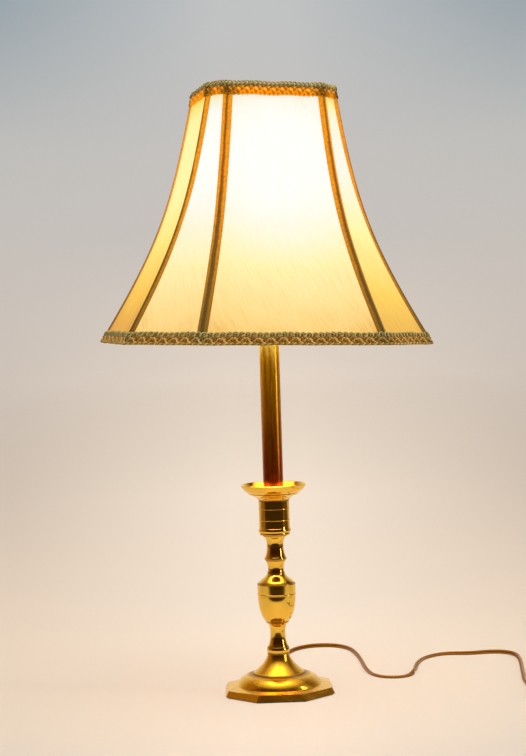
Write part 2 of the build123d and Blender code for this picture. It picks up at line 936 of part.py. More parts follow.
strip_bottom = shade_bottom + trim_height + fit_gap
strip_top = shade_top - trim_height - fit_gap
with BuildPart() as strips:
    for quarter in range(4):
        for side in (-1, 1):
            for angle, edge in ((90 * quarter, side), (90 * quarter + 45 * side, -side)):
                add(bell_face(
                    angle, -fit_gap - strip_thickness, strip_thickness, strip_bottom, strip_top, strip=edge
                ))
save(lean(strips.part), "seam_strips")

# Wire frame: eight ribs, the top and bottom rings and the spider
with BuildPart() as ribs:
    for eighth in range(8):
        quarter, side = divmod(eighth, 2)
        side = 2 * side - 1
        turn = math.radians(90 * quarter + shade_turn)
        path = []
        for width, half_side, level in bell_reach(False, rib_inset):
            path.append((
                width * math.cos(turn) - side * half_side * math.sin(turn),
                width * math.sin(turn) + side * half_side * math.cos(turn),
                level,
            ))
        with BuildLine() as rib_line:
            Bezier(*path)
        with BuildSketch(Plane(origin=rib_line.edges()[0] @ 0, z_dir=rib_line.edges()[0] % 0)):
            Circle(rib_radius)
        sweep(path=rib_line.edges()[0])
    split(bisect_by=Plane.XY.offset(shade_bottom + rib_radius), keep=Keep.TOP)
    split(bisect_by=Plane.XY.offset(shade_top - rib_radius), keep=Keep.BOTTOM)
save(lean(ribs.part), "shade_ribs")


def ring_depth(level):
    """How far a ring lies inside the outer fabric, so that it meets the ribs."""
    slope = bell_at(level - 1, 0)[0] - bell_at(level + 1, 0)[0]
    return rib_inset + math.hypot(1, slope / 2) * (rib_radius + ring_radius) + fit_gap


ring_levels = {"bottom_ring": shade_bottom + ring_inset, "top_ring": shade_top - ring_inset}
for name, level in ring_levels.items():
    corners = cut_corner(*bell_at(level, ring_depth(level)))
    with BuildPart() as ring:
        with BuildLine(Plane.XY.offset(level).rotated((0, 0, shade_turn))) as loop:
            FilletPolyline(*corners, radius=1.5 * ring_radius, close=True)
        with BuildSketch(Plane(origin=loop.wires()[0] @ 0, z_dir=loop.wires()[0] % 0)):
            Circle(ring_radius)
        sweep(path=loop.wires()[0])
    save(lean(ring.part), name)

arm_level = spider_top - arm_radius
top_ring_depth = ring_depth(ring_levels["top_ring"])
arm_end = bell_at(ring_levels["top_ring"], top_ring_depth)[0] - ring_radius - fit_gap
with BuildPart() as spider:
    with BuildSketch(Plane.XY.offset(spider_base)):
        Circle(spider_hub_radius)
    extrude(amount=spider_thickness)
    for quarter in range(4):
        turn = math.radians(90 * quarter + shade_turn)
        points = []
        for reach in (spider_hub_radius - 2.5, arm_end - shade_recess - 4):
            points.append((reach * math.cos(turn), reach * math.sin(turn), arm_level))
        for reach in (arm_end - 4, arm_end):
            points.append(lean_point(reach * math.cos(turn), reach * math.sin(turn), ring_levels["top_ring"]))
        with BuildLine() as arm_line:
            FilletPolyline(*points, radius=[8.0, 2.0])
        arm_wire = arm_line.wires()[0]
        with BuildSketch(Plane(origin=arm_wire @ 0, z_dir=arm_wire % 0)):
            Circle(arm_radius)
        sweep(path=arm_wire)
    with Locations((0, 0, spider_top)):
        Hole(spider_hole, depth=spider_thickness)
save(spider.part, "spider")

# Finial: a base, a neck and a ball over the stud
with BuildPart() as finial:
    with BuildSketch(upright(finial_base)):
        with BuildLine():
            outline(
                (stud_radius + turning_gap, 0),
                (finial_radius - 0.5, 0),
                ((finial_radius, 1.2), (finial_radius - 0.6, 2.4)),
                ((finial_neck_radius + 1.2, 4.0), (finial_neck_radius + 0.9, 6.2)),
                ((finial_ball_radius, 11.0), (finial_neck_radius + 0.6, finial_height - 3.6)),
                ((finial_neck_radius - 0.9, finial_height - 1.2), (finial_tip_radius, finial_height)),
                (0, finial_height),
                (0, finial_bore_depth),
                (stud_radius + turning_gap, finial_bore_depth),
            )
        make_face()
    revolve(axis=Axis.Z)
save(finial.part, "finial")

# Bushing in the back of the dome, and the lead through it and up the rod
outlet_axis = Axis((0, 0, outlet_height), (0, 1, 0))
with BuildPart() as bushing:
    with BuildSketch(Plane(origin=(0, outlet_reach, outlet_height), x_dir=(0, 1, 0), z_dir=(1, 0, 0))):
        with BuildLine():
            outline(
                (-bushing_length, bushing_bore),
                (-bushing_length, bushing_radius),
                (-bushing_length / 2, bushing_radius),
                (0, bushing_tip_radius),
                (0, bushing_bore),
            )
        make_face()
    revolve(axis=outlet_axis)
save(bushing.part, "cord_bushing")

lead_points = [(0, outlet_reach, outlet_height), (0, 0, outlet_height), (0, 0, switch_base - seat_gap)]
with BuildPart() as lead:
    with BuildLine() as lead_line:
        FilletPolyline(*lead_points, radius=inner_bend)
    with BuildSketch(Plane.XZ.offset(-outlet_reach)):
        with Locations((0, outlet_height)):
            Circle(cord_radius)
    sweep(path=lead_line.wires()[0])
save(lead.part, "inner_lead")

# Cord on the table, from the bushing to the coil
on_table = cord_radius
cord_points = [
    (0, outlet_reach, outlet_height),
    (0, 72, outlet_height),
    (2, 98, on_table),
    (5, 132, on_table),
    (9, 168, on_table),
    (15, 203, on_table),
    (26, 238, on_table),
    (48, 260, on_table),
    (77, 260, on_table),
    (96, 237, on_table),
    (102, 198, on_table),
    (104, 154, on_table),
    (104.5, 118, on_table),
    (106, 92, on_table),
    (110, 68, on_table),
    (122, 52, on_table),
    (140, 49, on_table),
    (154, 60, on_table),
    (160, 86, on_table),
    (167, 126, on_table),
    (180, 160, on_table),
    (206, 181, on_table),
    (236, 173, on_table),
    (262, 179, on_table),
    (281, 173, on_table),
    (290, 154, on_table),
    (289, 122, on_table),
    (284, 84, on_table),
    (278, 40, on_table),
    (271, -2, on_table),
    (269, -34, on_table),
    (coil_centre[0] - coil_outer_radius + cord_radius, coil_centre[1], on_table + coil_base),
]
tail_start = (coil_outer_radius - cord_radius) * math.sqrt(0.5)
plug_level = plug_thickness / 2
plug_rear = (308.0, -124.0, plug_level)
tail_points = [
    (coil_centre[0] - tail_start, coil_centre[1] - tail_start, coil_base + coil_height / 2),
    (298, -96.6, plug_level + 0.6),
    (308, -110, plug_level),
    plug_rear,
]


def cord_tube(points, name):
    """A plain round tube along straight runs and tangent arcs."""
    radii = bend_radii(points)
    print(name, "bend radii", [round(radius, 1) for radius in radii])
    with BuildPart() as cord:
        with BuildLine() as line:
            FilletPolyline(*points, radius=radii)
        path = line.wires()[0]
        with BuildSketch(Plane(origin=path @ 0, z_dir=path % 0)):
            Circle(cord_radius)
        sweep(path=path)
    expected = math.pi * cord_radius**2 * path.length
    print(name, "length", round(path.length, 1), "volume ratio", round(cord.part.volume / expected, 4))
    save(cord.part, name)


cord_tube(cord_points, "cord")
cord_tube(tail_points, "cord_tail")

# The rest of the cord as a round coil, and its tie
with BuildPart() as coil:
    with BuildSketch(Plane(origin=(*coil_centre, coil_base), x_dir=(1, 0, 0), z_dir=(0, -1, 0))):
        with Locations(((coil_inner_radius + coil_outer_radius) / 2, coil_height / 2)):
            RectangleRounded(coil_outer_radius - coil_inner_radius, coil_height, cord_radius)
    revolve(axis=Axis((*coil_centre, 0), (0, 0, 1)))
save(coil.part, "cord_coil")

with BuildPart() as tie:
    with BuildSketch(Plane(origin=(*coil_centre, coil_base), x_dir=(1, 0, 0), z_dir=(0, -1, 0))):
        with Locations(((coil_inner_radius + coil_outer_radius) / 2, coil_height / 2)):
            Rectangle(
                coil_outer_radius - coil_inner_radius + 2 * (tie_gap + tie_thickness),
                coil_height + 2 * (tie_gap + tie_thickness),
            )
            Rectangle(
                coil_outer_radius - coil_inner_radius + 2 * tie_gap,
                coil_height + 2 * tie_gap,
                mode=Mode.SUBTRACT,
            )
    extrude(amount=tie_width / 2, both=True)
save(tie.part, "cord_tie")

# Plug: a moulded body with its strain relief, and two flat blades
with BuildPart() as plug:
    with BuildSketch(Plane(origin=plug_rear, x_dir=(1, 0, 0), z_dir=(0, -1, 0))):
        Circle(cord_radius + 0.6)
    with BuildSketch(Plane(origin=(plug_rear[0], plug_rear[1] - plug_relief_length, plug_level),
                           x_dir=(1, 0, 0), z_dir=(0, -1, 0))):
        Circle(plug_relief_radius)
    loft()
    with BuildSketch(Plane(origin=(plug_rear[0], plug_rear[1] - plug_relief_length, plug_level),
                           x_dir=(1, 0, 0), z_dir=(0, -1, 0))):
        RectangleRounded(2 * plug_half_width, plug_thickness, plug_thickness / 3)
    extrude(amount=plug_length)
save(plug.part, "plug_body")

with BuildPart() as blades:
    with BuildSketch(Plane(origin=(plug_rear[0], plug_rear[1] - plug_relief_length - plug_length, plug_level),
                           x_dir=(1, 0, 0), z_dir=(0, -1, 0))):
        with Locations((-blade_spacing / 2, 0), (blade_spacing / 2, 0)):
            Rectangle(blade_thickness, blade_height)
    extrude(amount=blade_length)
save(blades.part, "plug_blades")
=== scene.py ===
import math

import bmesh
import bpy
from mathutils import Matrix, Vector


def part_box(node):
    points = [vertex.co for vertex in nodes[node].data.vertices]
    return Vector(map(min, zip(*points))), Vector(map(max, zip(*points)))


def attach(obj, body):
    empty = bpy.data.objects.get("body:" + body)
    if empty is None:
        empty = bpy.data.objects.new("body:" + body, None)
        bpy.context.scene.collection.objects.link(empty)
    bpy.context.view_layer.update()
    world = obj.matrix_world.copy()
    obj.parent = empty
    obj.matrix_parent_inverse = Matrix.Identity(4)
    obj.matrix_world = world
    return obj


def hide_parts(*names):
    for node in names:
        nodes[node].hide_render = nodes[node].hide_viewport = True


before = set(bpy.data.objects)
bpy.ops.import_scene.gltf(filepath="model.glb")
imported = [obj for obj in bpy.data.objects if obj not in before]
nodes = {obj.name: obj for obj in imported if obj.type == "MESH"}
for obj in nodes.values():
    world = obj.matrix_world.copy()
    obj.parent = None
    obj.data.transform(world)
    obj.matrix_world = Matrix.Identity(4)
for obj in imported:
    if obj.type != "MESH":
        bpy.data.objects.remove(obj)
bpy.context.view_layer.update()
scene = bpy.context.scene
scene.view_settings.view_transform = "Standard"
print("frame loaded")


# Small helpers

def addObject(name, data):
    made = bpy.data.objects.new(name, data)
    scene.collection.objects.link(made)
    return made


def smoothAll(mesh):
    mesh.polygons.foreach_set("use_smooth", [True] * len(mesh.polygons))
    mesh.update()


def meshFromBmesh(bm, name):
    mesh = bpy.data.meshes.new(name)
    bm.to_mesh(mesh)
    bm.free()
    smoothAll(mesh)
    return mesh


def meshFromCurve(curve):
    # The curve's final mesh; the curve itself is thrown away
    holder = addObject(curve.name, curve)
    mesh = bpy.data.meshes.new_from_object(holder.evaluated_get(bpy.context.evaluated_depsgraph_get()))
    bpy.data.objects.remove(holder)
    bpy.data.curves.remove(curve)
    return mesh


def joined(parts):
    # One bmesh from several, which are thrown away
    whole = bmesh.new()
    for part in parts:
        mesh = meshFromBmesh(part, "part")
        whole.from_mesh(mesh)
        bpy.data.meshes.remove(mesh)
    return whole


def connect(tree, value, socket):
    # A socket is linked, anything else becomes the value
    if isinstance(value, bpy.types.NodeSocket):
        tree.links.new(value, socket)
    elif socket.type == "RGBA" and len(value) == 3:
        socket.default_value = (*value, 1)
    else:
        socket.default_value = value


def node(tree, kind, inputs=None, **settings):
    made = tree.nodes.new(kind)
    for key, value in settings.items():
        setattr(made, key, value)
    for key, value in (inputs or {}).items():
        connect(tree, value, made.inputs[key])
    return made


def drive(tree, **inputs):
    # The shader's inputs by name, with an underscore for each space
    for key, value in inputs.items():
        connect(tree, value, tree.nodes["Principled BSDF"].inputs[key.replace("_", " ")])


def startMaterial(name, color, roughness, metallic=0.0, **extra):
    material = bpy.data.materials.new(name)
    material.use_nodes = True
    drive(material.node_tree, Base_Color=color, Roughness=roughness, Metallic=metallic, **extra)
    return material, material.node_tree


def objectCoords(tree):
    return node(tree, "ShaderNodeTexCoord").outputs["Object"]


def uvCoords(tree, layer="clothUV"):
    return node(tree, "ShaderNodeUVMap", uv_map=layer).outputs["UV"]


def litHere(tree):
    return node(tree, "ShaderNodeAttribute", attribute_name="lit").outputs["Fac"]


def axis(tree, vector, name):
    return node(tree, "ShaderNodeSeparateXYZ", {"Vector": vector}).outputs[name]


def vectorMath(tree, operation, inputs, output="Vector"):
    return node(tree, "ShaderNodeVectorMath", inputs, operation=operation).outputs[output]


def maths(tree, operation, first, second=0.0):
    return node(tree, "ShaderNodeMath", {0: first, 1: second}, operation=operation).outputs[0]


def noise(tree, vector, scale, detail=3.0, rough=0.5):
    inputs = {"Vector": vector, "Scale": scale, "Detail": detail, "Roughness": rough}
    return node(tree, "ShaderNodeTexNoise", inputs).outputs["Fac"]


def stretched(tree, vector, scale, turn=(0, 0, 0)):
    # Turned first and stretched after, so that the streaks themselves are turned
    if any(turn):
        vector = node(tree, "ShaderNodeMapping", {"Vector": vector, "Rotation": turn}).outputs["Vector"]
    return node(tree, "ShaderNodeMapping", {"Vector": vector, "Scale": scale}).outputs["Vector"]


def remap(tree, value, low, high, toLow=0.0, toHigh=1.0):
    inputs = {"Value": value, "From Min": low, "From Max": high, "To Min": toLow, "To Max": toHigh}
    return node(tree, "ShaderNodeMapRange", inputs).outputs["Result"]


def mixColor(tree, factor, first, second, blend="MIX"):
    inputs = {0: factor, 6: first, 7: second}
    return node(tree, "ShaderNodeMix", inputs, data_type="RGBA", blend_type=blend).outputs[2]


def shaded(color, share):
    # A colour times one number, or times three
    return tuple(c * s for c, s in zip(color, share if isinstance(share, tuple) else (share,) * 3))


def ramp(tree, value, stops):
    made = node(tree, "ShaderNodeValToRGB", {"Fac": value})
    elements = made.color_ramp.elements
    while len(elements) < len(stops):
        elements.new(0.5)
    for element, (place, color) in zip(elements, stops):
        element.position = place
        element.color = (*color, 1)
    return made.outputs["Color"]


def bump(tree, height, distance, strength=1.0):
    made = node(tree, "ShaderNodeBump", {"Height": height, "Distance": distance, "Strength": strength})
    drive(tree, Normal=made.outputs["Normal"])


# Camera

cameraSet = {
    "place": (-0.0664, -1.9746, 0.4109), "turn": 1.7, "dip": 1.832, "roll": 1.753,  # metres, degrees
    "lens": 85.53, "sensor": 36, "clipEnd": 40,
}


def makeCamera():
    data = bpy.data.cameras.new("camera")
    data.lens = cameraSet["lens"]
    data.sensor_width = cameraSet["sensor"]
    data.clip_end = cameraSet["clipEnd"]
    camera = addObject("camera", data)
    camera.matrix_world = (
        Matrix.Translation(cameraSet["place"])
        @ Matrix.Rotation(math.radians(-cameraSet["turn"]), 4, "Z")
        @ Matrix.Rotation(math.radians(90 - cameraSet["dip"]), 4, "X")
        @ Matrix.Rotation(math.radians(-cameraSet["roll"]), 4, "Z")
    )
    scene.camera = camera


makeCamera()

# Cord on the table, its coil and its tail

cordSet = {
    "width": 0.0053, "wire": 0.00135, "web": 0.0009, "length": 1.8, "lie": 0.0014, "sides": 20,
    "exit": (0, 0.052, 0.0145),
    "coilCentre": (0.310, -0.060), "coilOuter": 0.0349, "coilInner": 0.0243, "coilSlack": 1.019,
    "layerLow": 0.0042, "layerHigh": 0.0094, "climb": (1.85, 0.35), "turnPoints": 16,
    "onEdge": 88, "entry": 60, "leave": 45,                  # degrees in the coil; points to turn in and out
    "twist": (0.512, 0.006),                                 # place along the lead, and how short
    "tilt": 58, "tilted": ((0.215, 0.085), (0.745, 0.120)),  # degrees; places along the lead, and how far
}
cordRoute = [
    (0, 0.052, 0.0145), (0, 0.072, 0.0140), (0.002, 0.098, 0.0018), (0.005, 0.132, 0.0014),
    (0.009, 0.168, 0.0014), (0.015, 0.203, 0.0014), (0.026, 0.238, 0.0014), (0.048, 0.260, 0.0014),
    (0.077, 0.260, 0.0014), (0.096, 0.237, 0.0014), (0.102, 0.198, 0.0014), (0.104, 0.154, 0.0014),
    (0.1045, 0.118, 0.0014), (0.106, 0.092, 0.0014), (0.110, 0.068, 0.0014), (0.122, 0.052, 0.0014),
    (0.140, 0.049, 0.0014), (0.154, 0.060, 0.0014), (0.160, 0.086, 0.0014), (0.167, 0.126, 0.0014),
    (0.180, 0.160, 0.0014), (0.206, 0.181, 0.0014), (0.236, 0.173, 0.0014), (0.262, 0.179, 0.0014),
    (0.281, 0.173, 0.0014), (0.290, 0.154, 0.0014), (0.289, 0.122, 0.0014), (0.284, 0.084, 0.0014),
    (0.278, 0.040, 0.0016), (0.2725, -0.002, 0.0028), (0.2725, -0.034, 0.0040),
]
cordTail = [
    (0.2935, -0.0935, 0.0080), (0.3035, -0.1020, 0.0063), (0.308, -0.112, 0.0055), (0.308, -0.1245, 0.0055),
]


def coilPoints():
    # Two turns inwards, then two outwards on top of them
    points = []
    cx, cy = cordSet["coilCentre"]
    outer, inner = cordSet["coilOuter"], cordSet["coilInner"]
    climbStart, climbTurns = cordSet["climb"]
    for step in range(1, 4 * cordSet["turnPoints"] + 2):
        turns = step / cordSet["turnPoints"]
        radius = outer - (outer - inner) * (turns / 2 if turns < 2 else 2 - turns / 2)
        radius = min(radius, outer) * cordSet["coilSlack"]
        climb = min(1, max(0, (turns - climbStart) / climbTurns))
        level = cordSet["layerLow"] + (cordSet["layerHigh"] - cordSet["layerLow"]) * climb
        angle = math.radians(180) + 2 * math.pi * turns
        points.append((cx + radius * math.cos(angle), cy + radius * math.sin(angle), level))
    return points


def cordPath(points):
    # One smooth spline past the points, as a list of its own points
    curve = bpy.data.curves.new("cordLine", "CURVE")
    curve.dimensions = "3D"
    curve.resolution_u = 10
    spline = curve.splines.new("NURBS")
    spline.points.add(len(points) - 1)
    for target, point in zip(spline.points, points):
        target.co = (*point, 1)
    spline.order_u = 3
    spline.use_endpoint_u = True
    mesh = meshFromCurve(curve)
    path = [vertex.co.copy() for vertex in mesh.vertices]
    bpy.data.meshes.remove(mesh)
    return path


def cordSection():
    # The figure-of-eight of a flat twin lead, as (sideways, upwards) pairs
    wire, web = cordSet["wire"], cordSet["web"]
    apart = cordSet["width"] / 2 - wire
    pairs = []
    for index in range(cordSet["sides"]):
        angle = 2 * math.pi * (index + 0.5) / cordSet["sides"]
        across = (apart + wire) * math.cos(angle)
        inside = wire**2 - (abs(across) - apart) ** 2
        height = max(math.sqrt(max(inside, 0)), web * (abs(across) < apart))
        pairs.append((across, math.copysign(height, math.sin(angle))))
    return pairs


def cordTurn(index, run, coilStart, count):
    # How far the lead is turned about itself: flat on the table, on edge in the coil, tilted
    # where it bends, with one loose twist
    entry, leave = cordSet["entry"], cordSet["leave"]
    twistPlace, twistLength = cordSet["twist"]
    turn = cordSet["onEdge"] * min(1, max(0, (index - coilStart + entry / 2) / entry))
    turn -= cordSet["onEdge"] * max(0, (index - count + leave) / leave)
    turn += 180 / (1 + math.exp(-(run - twistPlace) / twistLength))
    for place, reach in cordSet["tilted"]:
        turn += cordSet["tilt"] * math.exp(-(((run - place) / reach) ** 2))
    return math.radians(turn)


def makeCord():
    path = cordPath(cordRoute + coilPoints() + cordTail)
    section = cordSection()
    apart = cordSet["width"] / 2 - cordSet["wire"]
    coilStart = next(i for i, p in enumerate(path) if p.x > 0.26 and p.y < -0.05)
    bm = bmesh.new()
    uvLayer = bm.loops.layers.uv.new("cordUV")
    rings = []
    run = 0.0
    for index, point in enumerate(path):
        ahead = (path[min(index + 1, len(path) - 1)] - path[max(index - 1, 0)]).normalized()
        sideways = Vector((0, 0, 1)).cross(ahead).normalized()
        up = ahead.cross(sideways).normalized()
        if index:
            run += (point - path[index - 1]).length
        turn = cordTurn(index, run, coilStart, len(path))
        # A lead that is turned on the table stands higher
        centre = point + Vector((0, 0, max(0.0, abs(math.sin(turn)) * apart + cordSet["lie"] - point.z)))
        ring = []
        for across, height in section:
            x = across * math.cos(turn) - height * math.sin(turn)
            z = across * math.sin(turn) + height * math.cos(turn)
            ring.append(bm.verts.new(centre + sideways * x + up * z))
        rings.append((run, ring))
    for (runA, ringA), (runB, ringB) in zip(rings, rings[1:]):
        for side in range(len(section)):
            after = (side + 1) % len(section)
            face = bm.faces.new((ringA[side], ringA[after], ringB[after], ringB[side]))
            corners = ((side, runA), (side + 1, runA), (side + 1, runB), (side, runB))
            for loop, (around, along) in zip(face.loops, corners):
                loop[uvLayer].uv = (around / len(section), along)
    bm.faces.new(rings[0][1])
    bm.faces.new(rings[-1][1])
    bmesh.ops.recalc_face_normals(bm, faces=bm.faces)
    lead = addObject("twinLead", meshFromBmesh(bm, "twinLead"))
    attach(lead, "stand")
    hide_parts("cord", "cord_coil", "cord_tail")
    return lead


twinLead = makeCord()
print("cord laid")

# Room: world, lamps and floor

roomSet = {
    "shadeless": 0.34,                           # soft light from everywhere
    "eye": (-0.066, -1.975, 0.411), "ahead": 0.03, "aside": (0.02, 0.14),
    "rise": (-0.24, 0.18),                       # lowest and highest slope that the backdrop's colours span
    "middle": [(0.00, (0.70, 0.58, 0.52)), (0.34, (1.05, 0.89, 0.74)), (0.47, (0.81, 0.69, 0.58)),
               (0.68, (0.58, 0.54, 0.51)), (1.00, (0.53, 0.54, 0.545))],
    "edge": [(0.00, (0.50, 0.45, 0.42)), (0.20, (0.72, 0.57, 0.46)), (0.80, (0.53, 0.52, 0.50)),
             (1.00, (0.31, 0.37, 0.41))],
    "floorDye": (0.42, 0.36, 0.28), "floorLift": 0.65, "floorRadius": 14, "floorFade": (2.0, 11.0),
    # What polished metal sees around it
    "wallLeft": (0.36, 0.19, 0.05), "wallRight": (0.14, 0.06, 0.02), "card": (0.92, 0.84, 0.70),
    "ceiling": (1.0, 0.90, 0.72), "front": (0.040, 0.014, 0.004), "frontHigh": (0.10, 0.045, 0.012),
    "dimFront": (-0.47, -0.37), "dimBeside": (0.60, 1.0), "dimBack": (0.6, 1.3),  # metres on the floor
}
lampSet = {
    "stripRight": {"place": (1.75, -0.50, 0.75), "aim": (0, 0, 0.30), "size": (0.10, 1.3), "power": 7.0},
    "softTop": {"place": (0.35, -0.45, 2.4), "aim": (0, 0.1, 0), "size": (1.6, 1.6), "power": 26.0,
                "color": (1.0, 0.97, 0.93), "glossy": False},
    "softLeft": {"place": (-1.9, -1.1, 1.1), "aim": (0, 0, 0.35), "size": (1.2, 1.4), "power": 10.0,
                 "color": (0.95, 0.97, 1.0), "glossy": False},
}


def backdropColor(tree, way):
    # The card's colour in a direction from the viewer's place: pale below, cooler at the top corners
    rise = remap(tree, axis(tree, way, "Z"), *roomSet["rise"])
    aside = maths(tree, "ABSOLUTE", maths(tree, "SUBTRACT", axis(tree, way, "X"), roomSet["ahead"]))
    edge = remap(tree, aside, *roomSet["aside"])
    return mixColor(tree, edge, ramp(tree, rise, roomSet["middle"]), ramp(tree, rise, roomSet["edge"]))


def makeWorld():
    world = bpy.data.worlds.new("room")
    world.use_nodes = True
    tree = world.node_tree
    tree.nodes.clear()
    way = node(tree, "ShaderNodeTexCoord").outputs["Generated"]
    x, y, z = (axis(tree, way, name) for name in "XYZ")
    rays = node(tree, "ShaderNodeLightPath").outputs
    # What polished metal sees: a dark studio in front, dim walls beside it, a pale card behind
    sides = mixColor(tree, remap(tree, x, -0.4, 0.4), roomSet["wallLeft"], roomSet["wallRight"])
    walls = mixColor(tree, remap(tree, y, 0.40, 0.92), sides, roomSet["card"])
    front = mixColor(tree, remap(tree, z, 0.40, 0.75), roomSet["front"], roomSet["frontHigh"])
    mirror = mixColor(tree, remap(tree, y, -0.45, 0.10, 1.0, 0.0), walls, front)
    mirror = mixColor(tree, remap(tree, z, 0.74, 0.90), mirror, roomSet["ceiling"])
    lit = mixColor(tree, rays["Is Glossy Ray"], (roomSet["shadeless"],) * 3, mirror)
    lit = mixColor(tree, rays["Is Camera Ray"], lit, backdropColor(tree, way))
    background = node(tree, "ShaderNodeBackground", {"Color": lit, "Strength": 1.0})
    node(tree, "ShaderNodeOutputWorld", {"Surface": background.outputs[0]})
    scene.world = world


def makeLamp(name, place, aim, size, power, color=(1, 1, 1), glossy=True):
    data = bpy.data.lights.new(name, "AREA")
    data.shape = "RECTANGLE"
    data.size, data.size_y = size
    data.energy = power
    data.color = color
    lamp = addObject(name, data)
    lamp.location = place
    lamp.rotation_euler = (Vector(aim) - Vector(place)).to_track_quat("-Z", "Y").to_euler()
    lamp.visible_camera = False
    lamp.visible_glossy = glossy


def makeFloor():
    bm = bmesh.new()
    bmesh.ops.create_circle(bm, cap_ends=True, segments=64, radius=roomSet["floorRadius"])
    floor = addObject("floor", meshFromBmesh(bm, "floor"))
    material, tree = startMaterial("floorCard", roomSet["floorDye"], 0.9)
    where = objectCoords(tree)
    x, y = axis(tree, where, "X"), axis(tree, where, "Y")
    rays = node(tree, "ShaderNodeLightPath").outputs
    way = vectorMath(tree, "NORMALIZE", {0: vectorMath(tree, "SUBTRACT", {0: where, 1: roomSet["eye"]})})
    grain = remap(tree, noise(tree, where, 900.0, 2.0), 0.0, 1.0, 0.98, 1.02)
    grain = node(tree, "ShaderNodeCombineColor", {0: grain, 1: grain, 2: grain}).outputs[0]
    glow = mixColor(tree, 1.0, backdropColor(tree, way), grain, "MULTIPLY")
    # Metal sees the card bright near the lamp and behind it only, and the dim room beyond its edges
    front = remap(tree, y, *roomSet["dimFront"], 1.0, 0.0)
    beside = remap(tree, maths(tree, "ABSOLUTE", x), *roomSet["dimBeside"])
    beside = maths(tree, "MULTIPLY", beside, remap(tree, y, *roomSet["dimBack"], 1.0, 0.0))
    dark = maths(tree, "MULTIPLY", rays["Is Glossy Ray"], maths(tree, "MAXIMUM", front, beside))
    room = mixColor(tree, remap(tree, x, -0.5, 0.5), roomSet["wallLeft"], roomSet["wallRight"])
    room = mixColor(tree, front, room, roomSet["front"])
    shown = maths(tree, "MAXIMUM", rays["Is Camera Ray"], rays["Is Transmission Ray"])
    shown = maths(tree, "MAXIMUM", shown, rays["Is Glossy Ray"])
    drive(tree, Base_Color=mixColor(tree, dark, roomSet["floorDye"], (0.0, 0.0, 0.0)),
          Emission_Color=mixColor(tree, dark, glow, room),
          Emission_Strength=maths(tree, "MULTIPLY", shown, roomSet["floorLift"]))
    # Far away the card fades into the backdrop
    fade = remap(tree, vectorMath(tree, "LENGTH", {0: where}, "Value"), *roomSet["floorFade"])
    card = tree.nodes["Principled BSDF"].outputs[0]
    clear = node(tree, "ShaderNodeBsdfTransparent").outputs[0]
    mixed = node(tree, "ShaderNodeMixShader", {0: fade, 1: card, 2: clear})
    connect(tree, mixed.outputs[0], tree.nodes["Material Output"].inputs["Surface"])
    floor.data.materials.append(material)


makeWorld()
makeFloor()
for name, settings in lampSet.items():
    makeLamp(name, **settings)
print("room made")

# Metal, plastic and glass

brassJoints = (0.0216, 0.0439, 0.0507, 0.0785, 0.1213, 0.1330, 0.1470, 0.1747, 0.2132)  # levels
brassSet = {"color": (0.93, 0.60, 0.085), "rough": 0.06, "joints": brassJoints}
footSet = {"color": (0.92, 0.54, 0.045), "rough": 0.20, "joints": brassJoints[:2]}
tarnish = (0.20, 0.09, 0.03)


def brassMaterial(name, color, rough, joints):
    # Polished brass: soft buffing lines, thumbed patches and brown tarnish in the joints
    material, tree = startMaterial(name, color, rough, 1.0)
    where = objectCoords(tree)
    cloud = noise(tree, where, 38.0, 4.0, 0.6)
    specks = noise(tree, where, 420.0, 3.0, 0.6)
    lines = noise(tree, stretched(tree, where, (60.0, 60.0, 1400.0)), 1.0, 2.0)
    stain = remap(tree, specks, 0.66, 0.80, 0.0, 0.28)
    level = axis(tree, where, "Z")
    for joint in joints:
        near = maths(tree, "ABSOLUTE", maths(tree, "SUBTRACT", level, joint))
        stain = maths(tree, "MAXIMUM", stain, remap(tree, near, 0.0004, 0.0016, 0.7, 0.0))
    tint = mixColor(tree, remap(tree, cloud, 0.35, 0.7), color, shaded(color, (0.94, 0.88, 0.76)))
    worn = maths(tree, "ADD", remap(tree, cloud, 0.3, 0.75, rough * 0.75, rough * 1.6),
                 remap(tree, lines, 0.4, 0.7, 0.0, 0.04))
    drive(tree, Base_Color=mixColor(tree, stain, tint, tarnish),
          Roughness=maths(tree, "ADD", worn, maths(tree, "MULTIPLY", stain, 0.35)))
    dents = maths(tree, "MULTIPLY", noise(tree, where, 90.0, 2.0), 0.6)
    bump(tree, maths(tree, "ADD", dents, maths(tree, "MULTIPLY", lines, 0.12)), 0.00012, 0.5)
    return material


def plainMetal(name, color, rough, grain=(500.0, 500.0, 40.0)):
    # Satin or plated metal with fine drawn lines
    material, tree = startMaterial(name, color, rough, 1.0)
    where = objectCoords(tree)
    lines = noise(tree, stretched(tree, where, grain), 1.0, 3.0)
    cloud = remap(tree, noise(tree, where, 60.0, 3.0), 0.35, 0.7, 0.0, 0.8)
    drive(tree, Base_Color=mixColor(tree, cloud, color, shaded(color, 0.72)),
          Roughness=remap(tree, lines, 0.3, 0.7, rough * 0.7, rough * 1.4))
    bump(tree, lines, 0.00006, 0.6)
    return material


def mouldedMaterial(name, color, rough, light=1.4, coat=0.0):
    # Moulded plastic with a fine grain and dust in its hollows
    material, tree = startMaterial(name, color, rough, 0.0, Coat_Weight=coat, Coat_Roughness=0.15)
    where = objectCoords(tree)
    cloud = noise(tree, where, 70.0, 4.0)
    dusty = tuple(min(1, c * light + 0.01) for c in color)
    drive(tree, Base_Color=mixColor(tree, remap(tree, cloud, 0.4, 0.75), color, dusty),
          Roughness=remap(tree, cloud, 0.3, 0.7, rough * 0.8, rough * 1.3))
    bump(tree, noise(tree, where, 1500.0, 2.0), 0.00008, 0.4)
    return material


